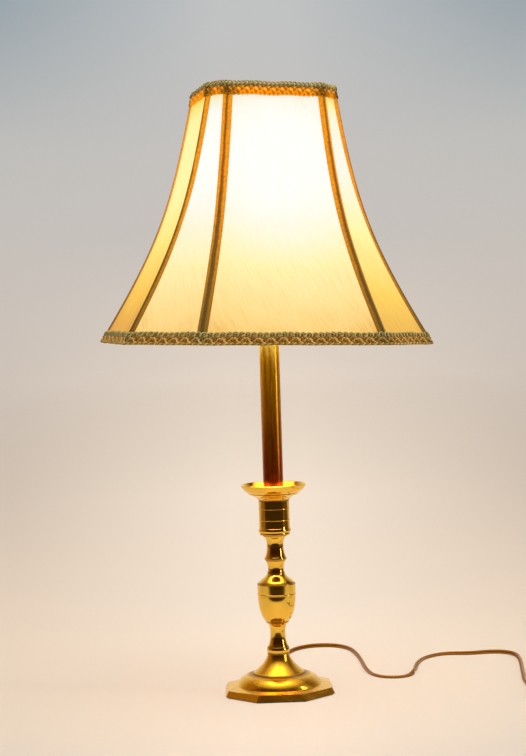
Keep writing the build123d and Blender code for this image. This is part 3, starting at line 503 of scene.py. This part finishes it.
tubeSet = {
    "low": 0.219, "high": 0.382, "rough": 0.22, "metal": 0.84,
    # Colours from the foot to the top: painted shade below, partly the lacquer's own redder tone, and a
    # painted highlight at the top
    "stops": [(0.00, (0.32, 0.040, 0.001)), (0.25, (0.44, 0.10, 0.002)), (0.60, (0.62, 0.26, 0.003)),
              (0.90, (0.86, 0.46, 0.006)), (1.00, (1.00, 0.84, 0.20))],
    "streak": (0.11, 0.020, 0.001), "pit": (0.95, 0.22, 0.01), "pitHeight": 0.05,
}


def tubeMaterial():
    # Old lacquered tube: drawn lines down its length, brown streaks, pitted at its foot; its colour by height
    # is painted light, a painted highlight of the bulb's light at the top and painted shade lower down, over
    # the lacquer's own redder foot
    low, high, rough = tubeSet["low"], tubeSet["high"], tubeSet["rough"]
    material, tree = startMaterial("lacqueredTube", tubeSet["stops"][-1][1], rough, tubeSet["metal"])
    where = objectCoords(tree)
    level = axis(tree, where, "Z")
    streaks = noise(tree, stretched(tree, where, (330.0, 330.0, 6.0)), 1.0, 4.0, 0.6)
    fine = noise(tree, stretched(tree, where, (1500.0, 1500.0, 14.0)), 1.0, 3.0)
    pits = noise(tree, stretched(tree, where, (700.0, 700.0, 420.0)), 1.0, 3.0, 0.65)
    # Colour by height: painted shade towards the foot, a painted highlight of the bulb's light at the top
    share = maths(tree, "ADD", remap(tree, level, low, high), remap(tree, streaks, 0.35, 0.65, 0.06, -0.10))
    tint = ramp(tree, share, tubeSet["stops"])
    # The streaks fade out under the painted highlight at the top
    outsideHighlight = remap(tree, level, high - 0.030, high - 0.004, 1.0, 0.25)
    for lines in (remap(tree, streaks, 0.50, 0.60, 0.0, 0.80), remap(tree, fine, 0.45, 0.70, 0.0, 0.45)):
        tint = mixColor(tree, maths(tree, "MULTIPLY", outsideHighlight, lines), tint, tubeSet["streak"])
    worn = maths(tree, "MULTIPLY", remap(tree, pits, 0.56, 0.66, 0.0, 0.8),
                 remap(tree, level, low, low + tubeSet["pitHeight"], 1.0, 0.0))
    drive(tree, Base_Color=mixColor(tree, worn, tint, tubeSet["pit"]),
          Roughness=remap(tree, fine, 0.3, 0.7, rough * 0.8, rough * 1.3))
    bump(tree, fine, 0.00005, 0.5)
    return material


leadSet = {
    "rubber": (0.040, 0.009, 0.0005), "copper": (0.48, 0.18, 0.006), "haze": (0.20, 0.09, 0.015),
    "gloss": 0.15, "glossTint": (1.0, 0.50, 0.12),
}


def leadMaterial():
    # Clear brown insulation over two copper conductors
    material, tree = startMaterial("clearBrownLead", leadSet["copper"], 0.4, 0.0,
                                   Specular_IOR_Level=leadSet["gloss"], Specular_Tint=leadSet["glossTint"])
    uv = uvCoords(tree, "cordUV")
    # The copper shows through each wire, the web between them is darker
    around = maths(tree, "MULTIPLY", axis(tree, uv, "X"), 2 * math.pi)
    crown = remap(tree, maths(tree, "ABSOLUTE", maths(tree, "COSINE", around)), 0.16, 0.46)
    strands = noise(tree, stretched(tree, uv, (30.0, 700.0, 1.0), (0, 0, 0.35)), 1.0, 2.0)
    copper = maths(tree, "MULTIPLY", crown, remap(tree, strands, 0.3, 0.7, 0.6, 1.0))
    color = mixColor(tree, copper, leadSet["rubber"], leadSet["copper"])
    cloud = noise(tree, objectCoords(tree), 26.0, 3.0)
    drive(tree, Base_Color=mixColor(tree, remap(tree, cloud, 0.35, 0.7, 0.0, 0.20), color, leadSet["haze"]),
          Roughness=remap(tree, cloud, 0.3, 0.7, 0.30, 0.45))
    bump(tree, strands, 0.00006, 0.4)
    return material


def feltMaterial():
    dark, light = (0.016, 0.05, 0.026), (0.06, 0.16, 0.085)
    material, tree = startMaterial("greenFelt", dark, 0.95, 0.0, Sheen_Weight=0.5, Sheen_Roughness=0.6)
    where = stretched(tree, objectCoords(tree), (1.0, 1.0, 1.0), (0.3, 0.5, 0.2))
    fibres = noise(tree, where, 1400.0, 4.0, 0.7)
    drive(tree, Base_Color=mixColor(tree, fibres, dark, light))
    bump(tree, fibres, 0.0004, 0.8)
    return material


bulbSet = {
    "low": 0.50, "high": 0.56, "neck": (1.0, 0.55, 0.24), "globe": (1.0, 0.76, 0.46), "strength": 24.0,
}


def glassMaterial():
    # Lit frosted glass, warmer towards the neck
    material, tree = startMaterial("litBulb", (0.95, 0.9, 0.82), 0.5, Emission_Strength=bulbSet["strength"])
    share = remap(tree, axis(tree, objectCoords(tree), "Z"), bulbSet["low"], bulbSet["high"])
    drive(tree, Emission_Color=ramp(tree, share, [(0.0, bulbSet["neck"]), (1.0, bulbSet["globe"])]))
    return material


def mountMaterial():
    material, tree = startMaterial("mountGlass", (0.9, 0.93, 0.92), 0.08, Transmission_Weight=0.7, IOR=1.5)
    bump(tree, noise(tree, objectCoords(tree), 120.0, 2.0), 0.0002, 0.3)
    return material


def wireMaterial():
    # Cream enamel on the shade's wires, chipped to bare steel in places
    enamel, steel = (0.82, 0.76, 0.62), (0.25, 0.22, 0.20)
    material, tree = startMaterial("creamEnamel", enamel, 0.45)
    where = objectCoords(tree)
    chips = remap(tree, noise(tree, where, 260.0, 4.0, 0.65), 0.66, 0.70)
    drive(tree, Base_Color=mixColor(tree, chips, enamel, steel), Metallic=chips)
    bump(tree, noise(tree, where, 500.0, 2.0), 0.00008, 0.5)
    return material


brass = brassMaterial("polishedBrass", **brassSet)
finishes = {
    brassMaterial("footBrass", **footSet): ["foot"],
    brass: ["baluster", "upper_knop", "candle_cup", "drip_pan", "tube_cap", "harp_stud", "finial",
            "ferrule_left", "ferrule_right", "socket_cap", "socket_shell"],
    tubeMaterial(): ["candle_tube"],
    plainMetal("harpBrass", (0.72, 0.50, 0.20), 0.3): ["harp", "harp_saddle"],
    plainMetal("contactBrass", (0.75, 0.58, 0.28), 0.28): [
        "screw_shell", "centre_contact", "terminal_screws", "plug_blades", "bulb_contact"],
    plainMetal("zincSteel", (0.55, 0.56, 0.56), 0.35): [
        "threaded_rod", "foot_washer", "foot_nut", "saddle_nut"],
    plainMetal("bulbMetal", (0.78, 0.78, 0.80), 0.3, (80.0, 80.0, 2200.0)): ["bulb_base"],
    mouldedMaterial("blackResin", (0.022, 0.018, 0.016), 0.45, 2.2): ["switch_body", "cord_bushing"],
    mouldedMaterial("knobResin", (0.018, 0.015, 0.013), 0.25, 2.0, 0.4): ["switch_knob", "switch_shaft"],
    mouldedMaterial("brownPlug", (0.10, 0.045, 0.016), 0.32, 1.6, 0.3): ["plug_body", "inner_lead"],
    mouldedMaterial("tieResin", (0.03, 0.022, 0.018), 0.5, 2.0): ["cord_tie"],
    mouldedMaterial("linerBoard", (0.58, 0.47, 0.30), 0.85, 1.2): ["socket_liner"],
    feltMaterial(): ["foot_felt"],
    glassMaterial(): ["bulb_glass"],
    mountMaterial(): ["bulb_mount"],
    wireMaterial(): ["spider", "top_ring", "bottom_ring", "shade_ribs"],
}
for material, names in finishes.items():
    for name in names:
        nodes[name].data.materials.clear()
        nodes[name].data.materials.append(material)
twinLead.data.materials.append(leadMaterial())

cupRingSet = {"radius": 0.01690, "levels": (0.1910, 0.2036), "wire": 0.00042, "sides": 96, "around": 10}


def makeCupRings():
    # Two fine turned beads round the candle cup
    bm = bmesh.new()
    for level in cupRingSet["levels"]:
        place = Matrix.Translation((cupRingSet["radius"], 0, level)) @ Matrix.Rotation(math.pi / 2, 4, "X")
        circle = bmesh.ops.create_circle(
            bm, segments=cupRingSet["around"], radius=cupRingSet["wire"], matrix=place)["verts"]
        edges = {edge for vertex in circle for edge in vertex.link_edges}
        bmesh.ops.spin(bm, geom=circle + list(edges), cent=(0, 0, 0), axis=(0, 0, 1),
                       angle=2 * math.pi, steps=cupRingSet["sides"], use_merge=True)
    bmesh.ops.recalc_face_normals(bm, faces=bm.faces)
    beads = addObject("cupRings", meshFromBmesh(bm, "cupRings"))
    beads.data.materials.append(brass)
    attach(beads, "stand")


makeCupRings()
print("metal, plastic and glass finished")

# Shade

shadeSet = {
    "turn": 10, "lean": 1.8, "height": 0.276, "recess": 0.021, "bulb": (0.0, 0.0, 0.5594),
    "bottomWidth": 0.165, "topWidth": 0.068, "bottomSide": 0.0976, "topSide": 0.0503,
    "flare": (0.1015, 0.112), "waist": (0.0895, 0.151), "bellSteps": 400,
}
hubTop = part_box("finial")[0][2] - 0.0002
shadeHigh = hubTop + shadeSet["recess"]
shadeLow = shadeHigh - shadeSet["height"]
faceNames = ["panel_right", "corner_back_right", "panel_back", "corner_back_left",
             "panel_left", "corner_front_left", "panel_front", "corner_front_right"]
cornerTan = math.tan(math.pi / 8)


def bellAt(t):
    # Half width, half side and level of the bell, from the hem (0) to the top (1)
    slope = (shadeSet["bottomSide"] - shadeSet["topSide"]) / (shadeSet["bottomWidth"] - shadeSet["topWidth"])
    widths = (shadeSet["bottomWidth"], shadeSet["flare"][0], shadeSet["waist"][0], shadeSet["topWidth"])
    levels = (shadeLow, shadeLow + shadeSet["flare"][1], shadeLow + shadeSet["waist"][1], shadeHigh)
    weights = ((1 - t) ** 3, 3 * t * (1 - t) ** 2, 3 * t * t * (1 - t), t**3)
    width = sum(w * v for w, v in zip(weights, widths))
    level = sum(w * v for w, v in zip(weights, levels))
    return width, shadeSet["topSide"] + slope * (width - shadeSet["topWidth"]), level


bellTable = [bellAt(step / shadeSet["bellSteps"]) for step in range(shadeSet["bellSteps"] + 1)]


def bellAtLevel(level):
    # Half width and half side at a level, carried on straight past the ends
    place = next((i for i, row in enumerate(bellTable) if row[2] > level), shadeSet["bellSteps"])
    low, high = bellTable[max(place - 1, 0)], bellTable[max(place, 1)]
    part = (level - low[2]) / (high[2] - low[2])
    return low[0] + part * (high[0] - low[0]), low[1] + part * (high[1] - low[1])


def halfSideOf(face, width, side):
    # Half the width of one face: the even faces are the wide ones, the odd ones cut the corners
    return side if face % 2 == 0 else (width - side) / math.sqrt(2)


def faceTurn(face):
    return Matrix.Rotation(math.radians(45 * face + shadeSet["turn"]), 3, "Z")


def facePoint(face, width, side, level, across, out):
    # A point on one of the eight faces: across is -1 at its right-hand rib, 1 at the next
    halfSide = halfSideOf(face, width, side)
    reach = width if face % 2 == 0 else (width + side) / math.sqrt(2)
    return faceTurn(face) @ Vector((reach + out, across * (halfSide + out * cornerTan), level))


def litAt(point, normal):
    # How strongly the bulb lights the fabric here, on a scale of doublings from 0 to 1
    ray = point - Vector(shadeSet["bulb"])
    strength = abs(ray.dot(normal)) / ray.length**3
    return min(1, max(0, (math.log2(max(strength, 0.5)) - 1.6) / 5.0))


def addShadePiece(name, mesh, material=None, replaced=None):
    # Leans a finished piece with the rest of the shade, about the top of its hub
    pivot = Matrix.Translation((0, 0, hubTop))
    mesh.transform(pivot @ Matrix.Rotation(math.radians(shadeSet["lean"]), 4, "Y") @ pivot.inverted())
    piece = addObject(name, mesh)
    if material:
        mesh.materials.append(material)
    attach(piece, "shade")
    if replaced:
        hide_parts(replaced)
    return piece


def storeLit(mesh, values):
    layer = mesh.attributes.new("lit", "FLOAT", "POINT")
    layer.data.foreach_set("value", values)


def addSolidify(piece, thickness, offset=-1.0):
    wall = piece.modifiers.new("thickness", "SOLIDIFY")
    wall.thickness = thickness
    wall.offset = offset
    wall.use_rim = True


clothSet = {
    "across": 20, "up": 64, "bulge": 0.0016, "thickness": 0.0006,
    "wideFlat": (0.195, 0.305), "narrowFlat": (0.094, 0.305),
    "topShade": (0.030, 0.018),  # how far under the top the painted shade on the cloth reaches, and the blend to it
    "fadeFlatOn": 0.03, "fadeAslant": 0.26,
}
liningSet = {
    "out": -0.0048, "low": 0.028, "high": 0.972, "bulge": -0.0006, "thickness": 0.0005, "flat": (1.15, 0.29),
}


def faceGrid(face, out, low, high, bulge):
    # One face of cloth from a flat grid that is pulled onto the bell, and its light
    bm = bmesh.new()
    columns = clothSet["across"] if face % 2 == 0 else clothSet["across"] // 2
    bmesh.ops.create_grid(bm, x_segments=columns, y_segments=clothSet["up"], size=1)
    uvLayer = bm.loops.layers.uv.new("clothUV")
    flat = {}
    for vertex in bm.verts:
        across, t = vertex.co.x, low + (high - low) * (vertex.co.y + 1) / 2
        width, side, level = bellAt(t)
        proud = bulge * (1 - across**2) * math.sin(math.pi * min(1, t * 1.15)) * (side / 0.06)
        flat[vertex] = (across * halfSideOf(face, width, side) + 0.5 * face, level * 1.12)
        vertex.co = facePoint(face, width, side, level, across, out + proud)
    for item in bm.faces:
        for loop in item.loops:
            loop[uvLayer].uv = flat[loop.vert]
    outwards = faceTurn(face) @ Vector((1, 0, 0))
    bm.normal_update()
    if sum(item.normal.dot(outwards) for item in bm.faces) < 0:
        bmesh.ops.reverse_faces(bm, faces=bm.faces)
        bm.normal_update()
    return bm, [litAt(vertex.co, vertex.normal) for vertex in bm.verts]


silkSet = {
    "dye": (0.42, 0.31, 0.08), "bias": (0, 0, -0.38),
    # Colours by the light behind the cloth; the faces seen flat on are paler than those seen aslant
    "glowFront": [(0.00, (0.50, 0.22, 0.02)), (0.19, (0.70, 0.47, 0.19)), (0.50, (0.70, 0.68, 0.38)),
                  (0.82, (0.71, 0.76, 0.78)), (1.00, (0.80, 0.82, 0.92))],
    "glowSide": [(0.00, (0.36, 0.06, 0.00)), (0.34, (0.72, 0.38, 0.03)), (0.67, (0.76, 0.63, 0.15)),
                 (1.00, (0.77, 0.78, 0.36))],
    "glowRight": [(0.00, (0.42, 0.10, 0.00)), (0.33, (0.68, 0.43, 0.06)), (0.72, (0.70, 0.70, 0.32)),
                  (1.00, (0.70, 0.73, 0.80))],
}


def silkMaterial(name, glowStops):
    # Slub silk with the bulb behind it: thick threads and folds show darker
    dye, bias = silkSet["dye"], silkSet["bias"]
    material, tree = startMaterial(name, dye, 0.8, 0.0, Sheen_Weight=0.05, Specular_IOR_Level=0.2)
    uv = uvCoords(tree)
    slubs = noise(tree, stretched(tree, uv, (560.0, 34.0, 1.0), bias), 1.0, 3.0, 0.6)
    cross = noise(tree, stretched(tree, uv, (60.0, 800.0, 1.0), bias), 1.0, 2.0)
    patches = remap(tree, noise(tree, uv, 22.0, 3.0, 0.5), 0.3, 0.7, -0.015, 0.025)
    thread = maths(tree, "ADD", remap(tree, slubs, 0.46, 0.74, 0.0, 0.075), patches)
    thread = maths(tree, "ADD", thread, remap(tree, cross, 0.50, 0.75, 0.0, 0.016))
    light = maths(tree, "SUBTRACT", litHere(tree), thread)
    thick = shaded(dye, (0.90, 0.86, 0.74))
    drive(tree, Base_Color=mixColor(tree, remap(tree, slubs, 0.4, 0.75), dye, thick),
          Emission_Color=ramp(tree, light, glowStops), Emission_Strength=1.0)
    along = noise(tree, stretched(tree, uv, (2600.0, 300.0, 1.0), bias), 1.0, 1.0)
    weave = maths(tree, "ADD", along, noise(tree, stretched(tree, uv, (300.0, 2600.0, 1.0), bias), 1.0, 1.0))
    bump(tree, maths(tree, "ADD", weave, maths(tree, "MULTIPLY", slubs, 1.2)), 0.00022, 0.7)
    return material


def makePanels():
    front = silkMaterial("silkFront", silkSet["glowFront"])
    side = silkMaterial("silkSide", silkSet["glowSide"])
    right = silkMaterial("silkRight", silkSet["glowRight"])
    for face, name in enumerate(faceNames):
        bm, lit = faceGrid(face, 0.0, 0.0, 1.0, clothSet["bulge"])
        area = sum(item.calc_area() for item in bm.faces)
        mesh = meshFromBmesh(bm, name + "_cloth")
        # Right below the top braid the light through the cloth is dimmed, a painted shade that shows less on
        # the front and the back
        fade = clothSet["fadeFlatOn"] if face % 4 == 2 else clothSet["fadeAslant"]
        reach, blend = clothSet["topShade"]
        topShadeShare = [max(0, (vertex.co.z - shadeHigh + reach) / blend) for vertex in mesh.vertices]
        storeLit(mesh, [value - fade * share for value, share in zip(lit, topShadeShare)])
        silk = (side, front, front, right)[face % 4]
        cloth = addShadePiece(name + "_cloth", mesh, silk, name)
        addSolidify(cloth, clothSet["thickness"])


def liningMaterial():
    # Cream satin lining, lit from inside
    dark, light = (0.80, 0.71, 0.52), (0.92, 0.85, 0.68)
    material, tree = startMaterial("satinLining", light, 0.45, Sheen_Weight=0.2, Sheen_Roughness=0.3)
    folds = noise(tree, stretched(tree, uvCoords(tree), (160.0, 9.0, 1.0)), 1.0, 3.0)
    glow = [(0.0, (0.60, 0.38, 0.14)), (0.5, (0.92, 0.78, 0.50)), (1.0, (1.0, 0.94, 0.78))]
    drive(tree, Base_Color=mixColor(tree, folds, dark, light),
          Emission_Color=ramp(tree, litHere(tree), glow), Emission_Strength=1.5)
    bump(tree, folds, 0.0008, 0.6)
    return material


def makeLining():
    place = [liningSet[key] for key in ("out", "low", "high", "bulge")]
    whole = joined(faceGrid(face, *place)[0] for face in range(8))
    bmesh.ops.remove_doubles(whole, verts=whole.verts, dist=0.0004)
    whole.normal_update()
    lit = [litAt(vertex.co, vertex.normal) for vertex in whole.verts]
    area = sum(item.calc_area() for item in whole.faces)
    mesh = meshFromBmesh(whole, "lining_cloth")
    storeLit(mesh, lit)
    cloth = addShadePiece("lining_cloth", mesh, liningMaterial(), "shade_lining")
    addSolidify(cloth, liningSet["thickness"])


makePanels()
makeLining()
print("cloth stretched on the frame")


# Braid and tapes on the shade

yarnSet = {
    # Colour, second colour, and the glow where the light comes through
    "teal": ((0.20, 0.20, 0.07), (0.38, 0.36, 0.15), (0.40, 0.12, 0.00)),
    "sage": ((0.42, 0.30, 0.06), (0.20, 0.16, 0.03), (0.60, 0.16, 0.00)),
    "cream": ((0.80, 0.60, 0.22), (0.54, 0.38, 0.09), (0.85, 0.34, 0.03)),
    "rust": ((0.33, 0.16, 0.012), (0.15, 0.065, 0.004), (0.46, 0.08, 0.00)),
    "amber": ((0.36, 0.17, 0.004), (0.20, 0.08, 0.003), (0.86, 0.27, 0.00)),
}
yarnOrder = list(yarnSet)


def yarnMaterial(name, color, second, glow):
    # Twisted yarn with a patchy dye
    material, tree = startMaterial(name, color, 0.85, 0.0, Sheen_Weight=0.06, Specular_IOR_Level=0.15)
    where = objectCoords(tree)
    fibres = noise(tree, where, 1900.0, 3.0, 0.6)
    patches = noise(tree, where, 70.0, 5.0, 0.8)
    base = mixColor(tree, remap(tree, patches, 0.42, 0.58), color, second)
    drive(tree, Base_Color=mixColor(tree, remap(tree, fibres, 0.3, 0.7, 0.0, 0.5), base, shaded(color, 0.45)),
          Emission_Color=glow,
          Emission_Strength=maths(tree, "MULTIPLY", litHere(tree), remap(tree, fibres, 0.3, 0.7, 0.75, 1.1)))
    bump(tree, fibres, 0.0003, 0.8)
    return material


yarns = [yarnMaterial(name + "Yarn", *colors) for name, colors in yarnSet.items()]
rimWave = {"level": 0.0004, "levelEvery": 8, "out": 0.0004, "outEvery": 3.2}  # metres; repeats


def aroundRim(perFlat, perCorner, samples, track):
    # Follows the rim once; track gives (shift along, level, out) for a count of repeats
    points = []
    done = 0
    for face in range(8):
        count = perCorner if face % 2 else perFlat
        for step in range(count * samples):
            repeat = done + step / samples
            shift, level, out = track(repeat)
            level += rimWave["level"] * math.sin(2 * math.pi * repeat / rimWave["levelEvery"])
            out += rimWave["out"] * math.sin(2 * math.pi * repeat / rimWave["outEvery"])
            width, side = bellAtLevel(level)
            across = 2 * (step / samples + shift) / count - 1
            points.append(facePoint(face, width, side, level, across, out))
        done += count
    return points


def plied(level, high, out, phase):
    return lambda repeat: (
        0, level + high * math.sin(2 * math.pi * repeat + phase),
        out + high * math.cos(2 * math.pi * repeat + phase))


def plait(level, high, out, phase):
    return lambda repeat: (
        0, level + high * math.sin(math.pi * repeat + phase),
        out + braidSet["plaitDepth"] * math.sin(2 * math.pi * repeat + 2 * phase))


def loops(level, high, out, phase):
    return lambda repeat: (
        -braidSet["curl"] * math.sin(2 * math.pi * repeat + phase),
        level - high * math.cos(2 * math.pi * repeat + phase),
        out + braidSet["loopDepth"] * math.sin(2 * math.pi * repeat + phase))


braidSet = {
    "hemHeight": 0.0130, "topHeight": 0.0128, "plaitDepth": 0.0009, "loopDepth": 0.0010, "curl": 0.30,
    "hemRepeats": (30, 14), "topRepeats": (22, 6),  # on a wide face and on a narrow one
    "hemRib": 0.016, "topRib": 0.014,               # how far a rib's shadow reaches along the braid
    # Each row: way, level from the edge, height, depth, radius, samples, and the yarns with their starts
    "hem": [
        (plied, 0.0014, 0.0007, 0.0012, 0.00080, 8, [("cream", 0), ("sage", math.pi)]),
        (plait, 0.0050, 0.0023, 0.0012, 0.00085, 8, [("rust", 0), ("sage", 2.09), ("cream", 4.19)]),
        (plait, 0.0076, 0.0020, 0.0016, 0.00080, 8, [("teal", 1.0), ("rust", 3.1), ("cream", 5.2)]),
        (loops, 0.0106, 0.0022, 0.0016, 0.00085, 12, [("cream", 0)]),
        (loops, 0.0100, 0.0017, 0.0023, 0.00080, 12, [("teal", math.pi)]),
    ],
    "top": [
        (loops, -0.0004, 0.0019, 0.0014, 0.00085, 12, [("cream", 0)]),
        (plied, -0.0022, 0.0012, 0.0016, 0.00085, 14, [("teal", 0), ("sage", 2.09), ("cream", 4.19)]),
        (plait, -0.0052, 0.0024, 0.0014, 0.00085, 10, [("rust", 0), ("cream", 2.09), ("amber", 4.19)]),
        (plait, -0.0080, 0.0021, 0.0014, 0.00080, 10, [("amber", 0.7), ("rust", 2.8), ("amber", 4.9)]),
        (loops, -0.0110, -0.0018, 0.0012, 0.00080, 14, [("amber", 0)]),
    ],
}


def ribNearness(point, reach):
    # 1 on a rib and 0 away from it, by the distance along the rim
    width, side = bellAtLevel(point.z)
    angle = math.degrees(math.atan2(point.y, point.x)) - shadeSet["turn"]
    turned = (angle + 45) % 90 - 45
    ribAngle = math.degrees(math.atan2(side, width))
    apart = math.radians(abs(abs(turned) - ribAngle)) * math.hypot(width, side)
    return max(0, 1 - apart / reach)


def hemLit(point):
    share = (point.z - shadeLow) / braidSet["hemHeight"]
    glow = 0.05 + 0.24 * max(0, 1 - abs(share - 0.45) / 0.45)
    return glow * (1 - 0.85 * ribNearness(point, braidSet["hemRib"]))


def topLit(point):
    share = (shadeHigh - point.z) / braidSet["topHeight"]
    return min(1, max(0, (share - 0.22) / 0.25)) * (1 - ribNearness(point, braidSet["topRib"]))


def makeBraid(which, edge, litFunction):
    # Round yarns that follow the rim, as one mesh
    curve = bpy.data.curves.new(which + "Braid", "CURVE")
    curve.dimensions = "3D"
    curve.bevel_depth = 1.0
    curve.bevel_resolution = 1
    for material in yarns:
        curve.materials.append(material)
    for way, level, high, out, radius, samples, starts in braidSet[which]:
        for yarn, phase in starts:
            points = aroundRim(*braidSet[which + "Repeats"], samples, way(edge + level, high, out, phase))
            spline = curve.splines.new("POLY")
            spline.points.add(len(points) - 1)
            for target, point in zip(spline.points, points):
                target.co = (*point, 1)
                target.radius = radius
            spline.use_cyclic_u = True
            spline.material_index = yarnOrder.index(yarn)
    mesh = meshFromCurve(curve)
    smoothAll(mesh)
    storeLit(mesh, [litFunction(vertex.co) for vertex in mesh.vertices])
    addShadePiece(which + "Braid", mesh, replaced=which + "_braid")


groundAndShadeSet = {
    # The span is from the braid's outer edge
    # The dark dyes are partly the braid's own and partly painted shade between the yarns; the glow is painted
    # light coming through
    "hem": {"span": (0.0004, 0.0112), "out": 0.0007, "dye": (0.050, 0.026, 0.004), "glow": (0.50, 0.14, 0)},
    "top": {"span": (-0.0124, -0.0006), "out": 0.0006, "dye": (0.07, 0.035, 0.006), "glow": (0.74, 0.19, 0)},
}


def groundAndShadeMaterial(name, dye, glow):
    # The woven ground under the yarns of a braid, dark partly from its own dye and partly from painted shade
    # between the yarns, with painted light glowing through it
    material, tree = startMaterial(name, dye, 0.9, 0.0, Specular_IOR_Level=0.1, Emission_Color=glow)
    weave = noise(tree, objectCoords(tree), 900.0, 3.0, 0.6)
    through = maths(tree, "MULTIPLY", litHere(tree), remap(tree, weave, 0.3, 0.7, 0.6, 1.1))
    drive(tree, Base_Color=mixColor(tree, weave, shaded(dye, 0.5), shaded(dye, 1.5)),
          Emission_Strength=through)
    bump(tree, weave, 0.0004, 0.7)
    return material


def makeBacking(which, edge, litFunction):
    # A band of cloth behind the yarns, so that no light shows between them; its dark colour is partly painted
    # shade between the yarns
    settings = groundAndShadeSet[which]
    low, high = (edge + step for step in settings["span"])
    parts = []
    for face in range(8):
        bm = bmesh.new()
        bmesh.ops.create_grid(bm, x_segments=12, y_segments=4, size=1)
        for vertex in bm.verts:
            level = low + (high - low) * (vertex.co.y + 1) / 2
            vertex.co = facePoint(face, *bellAtLevel(level), level, vertex.co.x, settings["out"])
        parts.append(bm)
    whole = joined(parts)
    bmesh.ops.remove_doubles(whole, verts=whole.verts, dist=0.0002)
    bmesh.ops.recalc_face_normals(whole, faces=whole.faces)
    mesh = meshFromBmesh(whole, which + "Backing")
    storeLit(mesh, [litFunction(vertex.co) for vertex in mesh.vertices])
    groundAndShade = groundAndShadeMaterial(which + "GroundAndShade", settings["dye"], settings["glow"])
    addSolidify(addShadePiece(which + "Backing", mesh, groundAndShade), 0.0006, 0.0)


makeBraid("hem", shadeLow, hemLit)
makeBraid("top", shadeHigh, topLit)
makeBacking("hem", shadeLow, hemLit)
makeBacking("top", shadeHigh, topLit)

ribbonSet = {
    "halfWidth": 0.0057, "thickness": 0.0004, "out": 0.0006, "crown": 0.0007, "pleat": 0.0005, "fold": 0.7,
    "core": 0.38, "coreTop": 0.20, "ends": (0.0120, -0.0115), "columns": 16, "rows": 90,
    "glow": [(0.00, (0.04, 0.018, 0.000)), (0.25, (0.24, 0.085, 0.000)), (0.50, (0.52, 0.17, 0.000)),
             (0.75, (0.80, 0.25, 0.000)), (1.00, (0.92, 0.31, 0.000))],
    "coreGlow": [(0.00, (0.010, 0.008, 0.000)), (0.50, (0.12, 0.035, 0.000)), (1.00, (0.34, 0.070, 0.000))],
    "dye": (0.20, 0.105, 0.012), "coreDye": (0.105, 0.080, 0.020), "shadow": (0.055, 0.035, 0.010),
}


def ribbonMaterial():
    # Folded silk tape: orange where the light comes through one layer, dark over the wire
    material, tree = startMaterial(
        "seamTape", ribbonSet["dye"], 0.7, Sheen_Weight=0.04, Specular_IOR_Level=0.12)
    where, uv = objectCoords(tree), uvCoords(tree)
    fibres = noise(tree, stretched(tree, uv, (26.0, 5.0, 1.0)), 1.0, 3.0, 0.6)
    wander = remap(tree, noise(tree, where, 60.0, 3.0), 0.3, 0.7, -0.09, 0.09)
    aside = maths(tree, "ABSOLUTE", maths(tree, "ADD", axis(tree, uv, "X"), wander))
    core = remap(tree, axis(tree, uv, "Y"), -0.2, 0.7, ribbonSet["core"], ribbonSet["coreTop"])
    band = remap(tree, maths(tree, "SUBTRACT", aside, core), -0.10, 0.16)
    mottle = noise(tree, where, 420.0, 4.0, 0.7)
    through = maths(tree, "MULTIPLY", litHere(tree), remap(tree, fibres, 0.3, 0.7, 0.85, 1.05))
    through = maths(tree, "MULTIPLY", through, remap(tree, mottle, 0.30, 0.62, 0.45, 1.05))
    glow, dim = ramp(tree, through, ribbonSet["glow"]), ramp(tree, through, ribbonSet["coreGlow"])
    base = mixColor(tree, band, ribbonSet["coreDye"], ribbonSet["dye"])
    folds = remap(tree, fibres, 0.35, 0.7, 0.0, 0.6)
    drive(tree, Base_Color=mixColor(tree, folds, base, ribbonSet["shadow"]),
          Emission_Color=mixColor(tree, band, dim, glow), Emission_Strength=1.0)
    bump(tree, fibres, 0.0003, 0.7)
    return material


def ribPoint(rib, level, across, out):
    # A point beside a rib: across is metres along the face on either side of it
    width, side = bellAtLevel(level)
    face = rib if across < 0 else (rib + 1) % 8
    share = across / halfSideOf(face, width, side)
    return facePoint(face, width, side, level, 1 + share if across < 0 else share - 1, out)


def litAlong(share):
    # The light through a seam tape, from the hem (0) to the top (1)
    return min(1, max(0.06, 0.06 + 1.55 * share)) - 0.45 * max(0, share - 0.92) / 0.08


def makeRibbons():
    low, high = shadeLow + ribbonSet["ends"][0], shadeHigh + ribbonSet["ends"][1]
    marks = []
    parts = []
    for rib in range(8):
        bm = bmesh.new()
        bmesh.ops.create_grid(bm, x_segments=ribbonSet["columns"], y_segments=ribbonSet["rows"], size=1)
        uvLayer = bm.loops.layers.uv.new("clothUV")
        for item in bm.faces:
            for loop in item.loops:
                loop[uvLayer].uv = (loop.vert.co.x, loop.vert.co.y)
        for vertex in bm.verts:
            share, level = vertex.co.x, low + (high - low) * (vertex.co.y + 1) / 2
            across = share * ribbonSet["halfWidth"]
            # A raised fold over the wire and a flat edge on either side
            fold = 0.5 + 0.5 * math.cos(math.pi * min(1, abs(share) / ribbonSet["fold"]))
            out = ribbonSet["out"] + ribbonSet["crown"] * (1 - share**2) + ribbonSet["pleat"] * fold
            marks.append(litAlong((level - shadeLow) / shadeSet["height"]))
            vertex.co = ribPoint(rib, level, across if abs(across) > 1e-6 else 1e-6, out)
        parts.append(bm)
    whole = joined(parts)
    bmesh.ops.recalc_face_normals(whole, faces=whole.faces)
    mesh = meshFromBmesh(whole, "seamTapes")
    storeLit(mesh, marks)
    tapes = addShadePiece("seamTapes", mesh, ribbonMaterial(), "seam_strips")
    addSolidify(tapes, ribbonSet["thickness"])


makeRibbons()
print("braid and tapes sewn on")
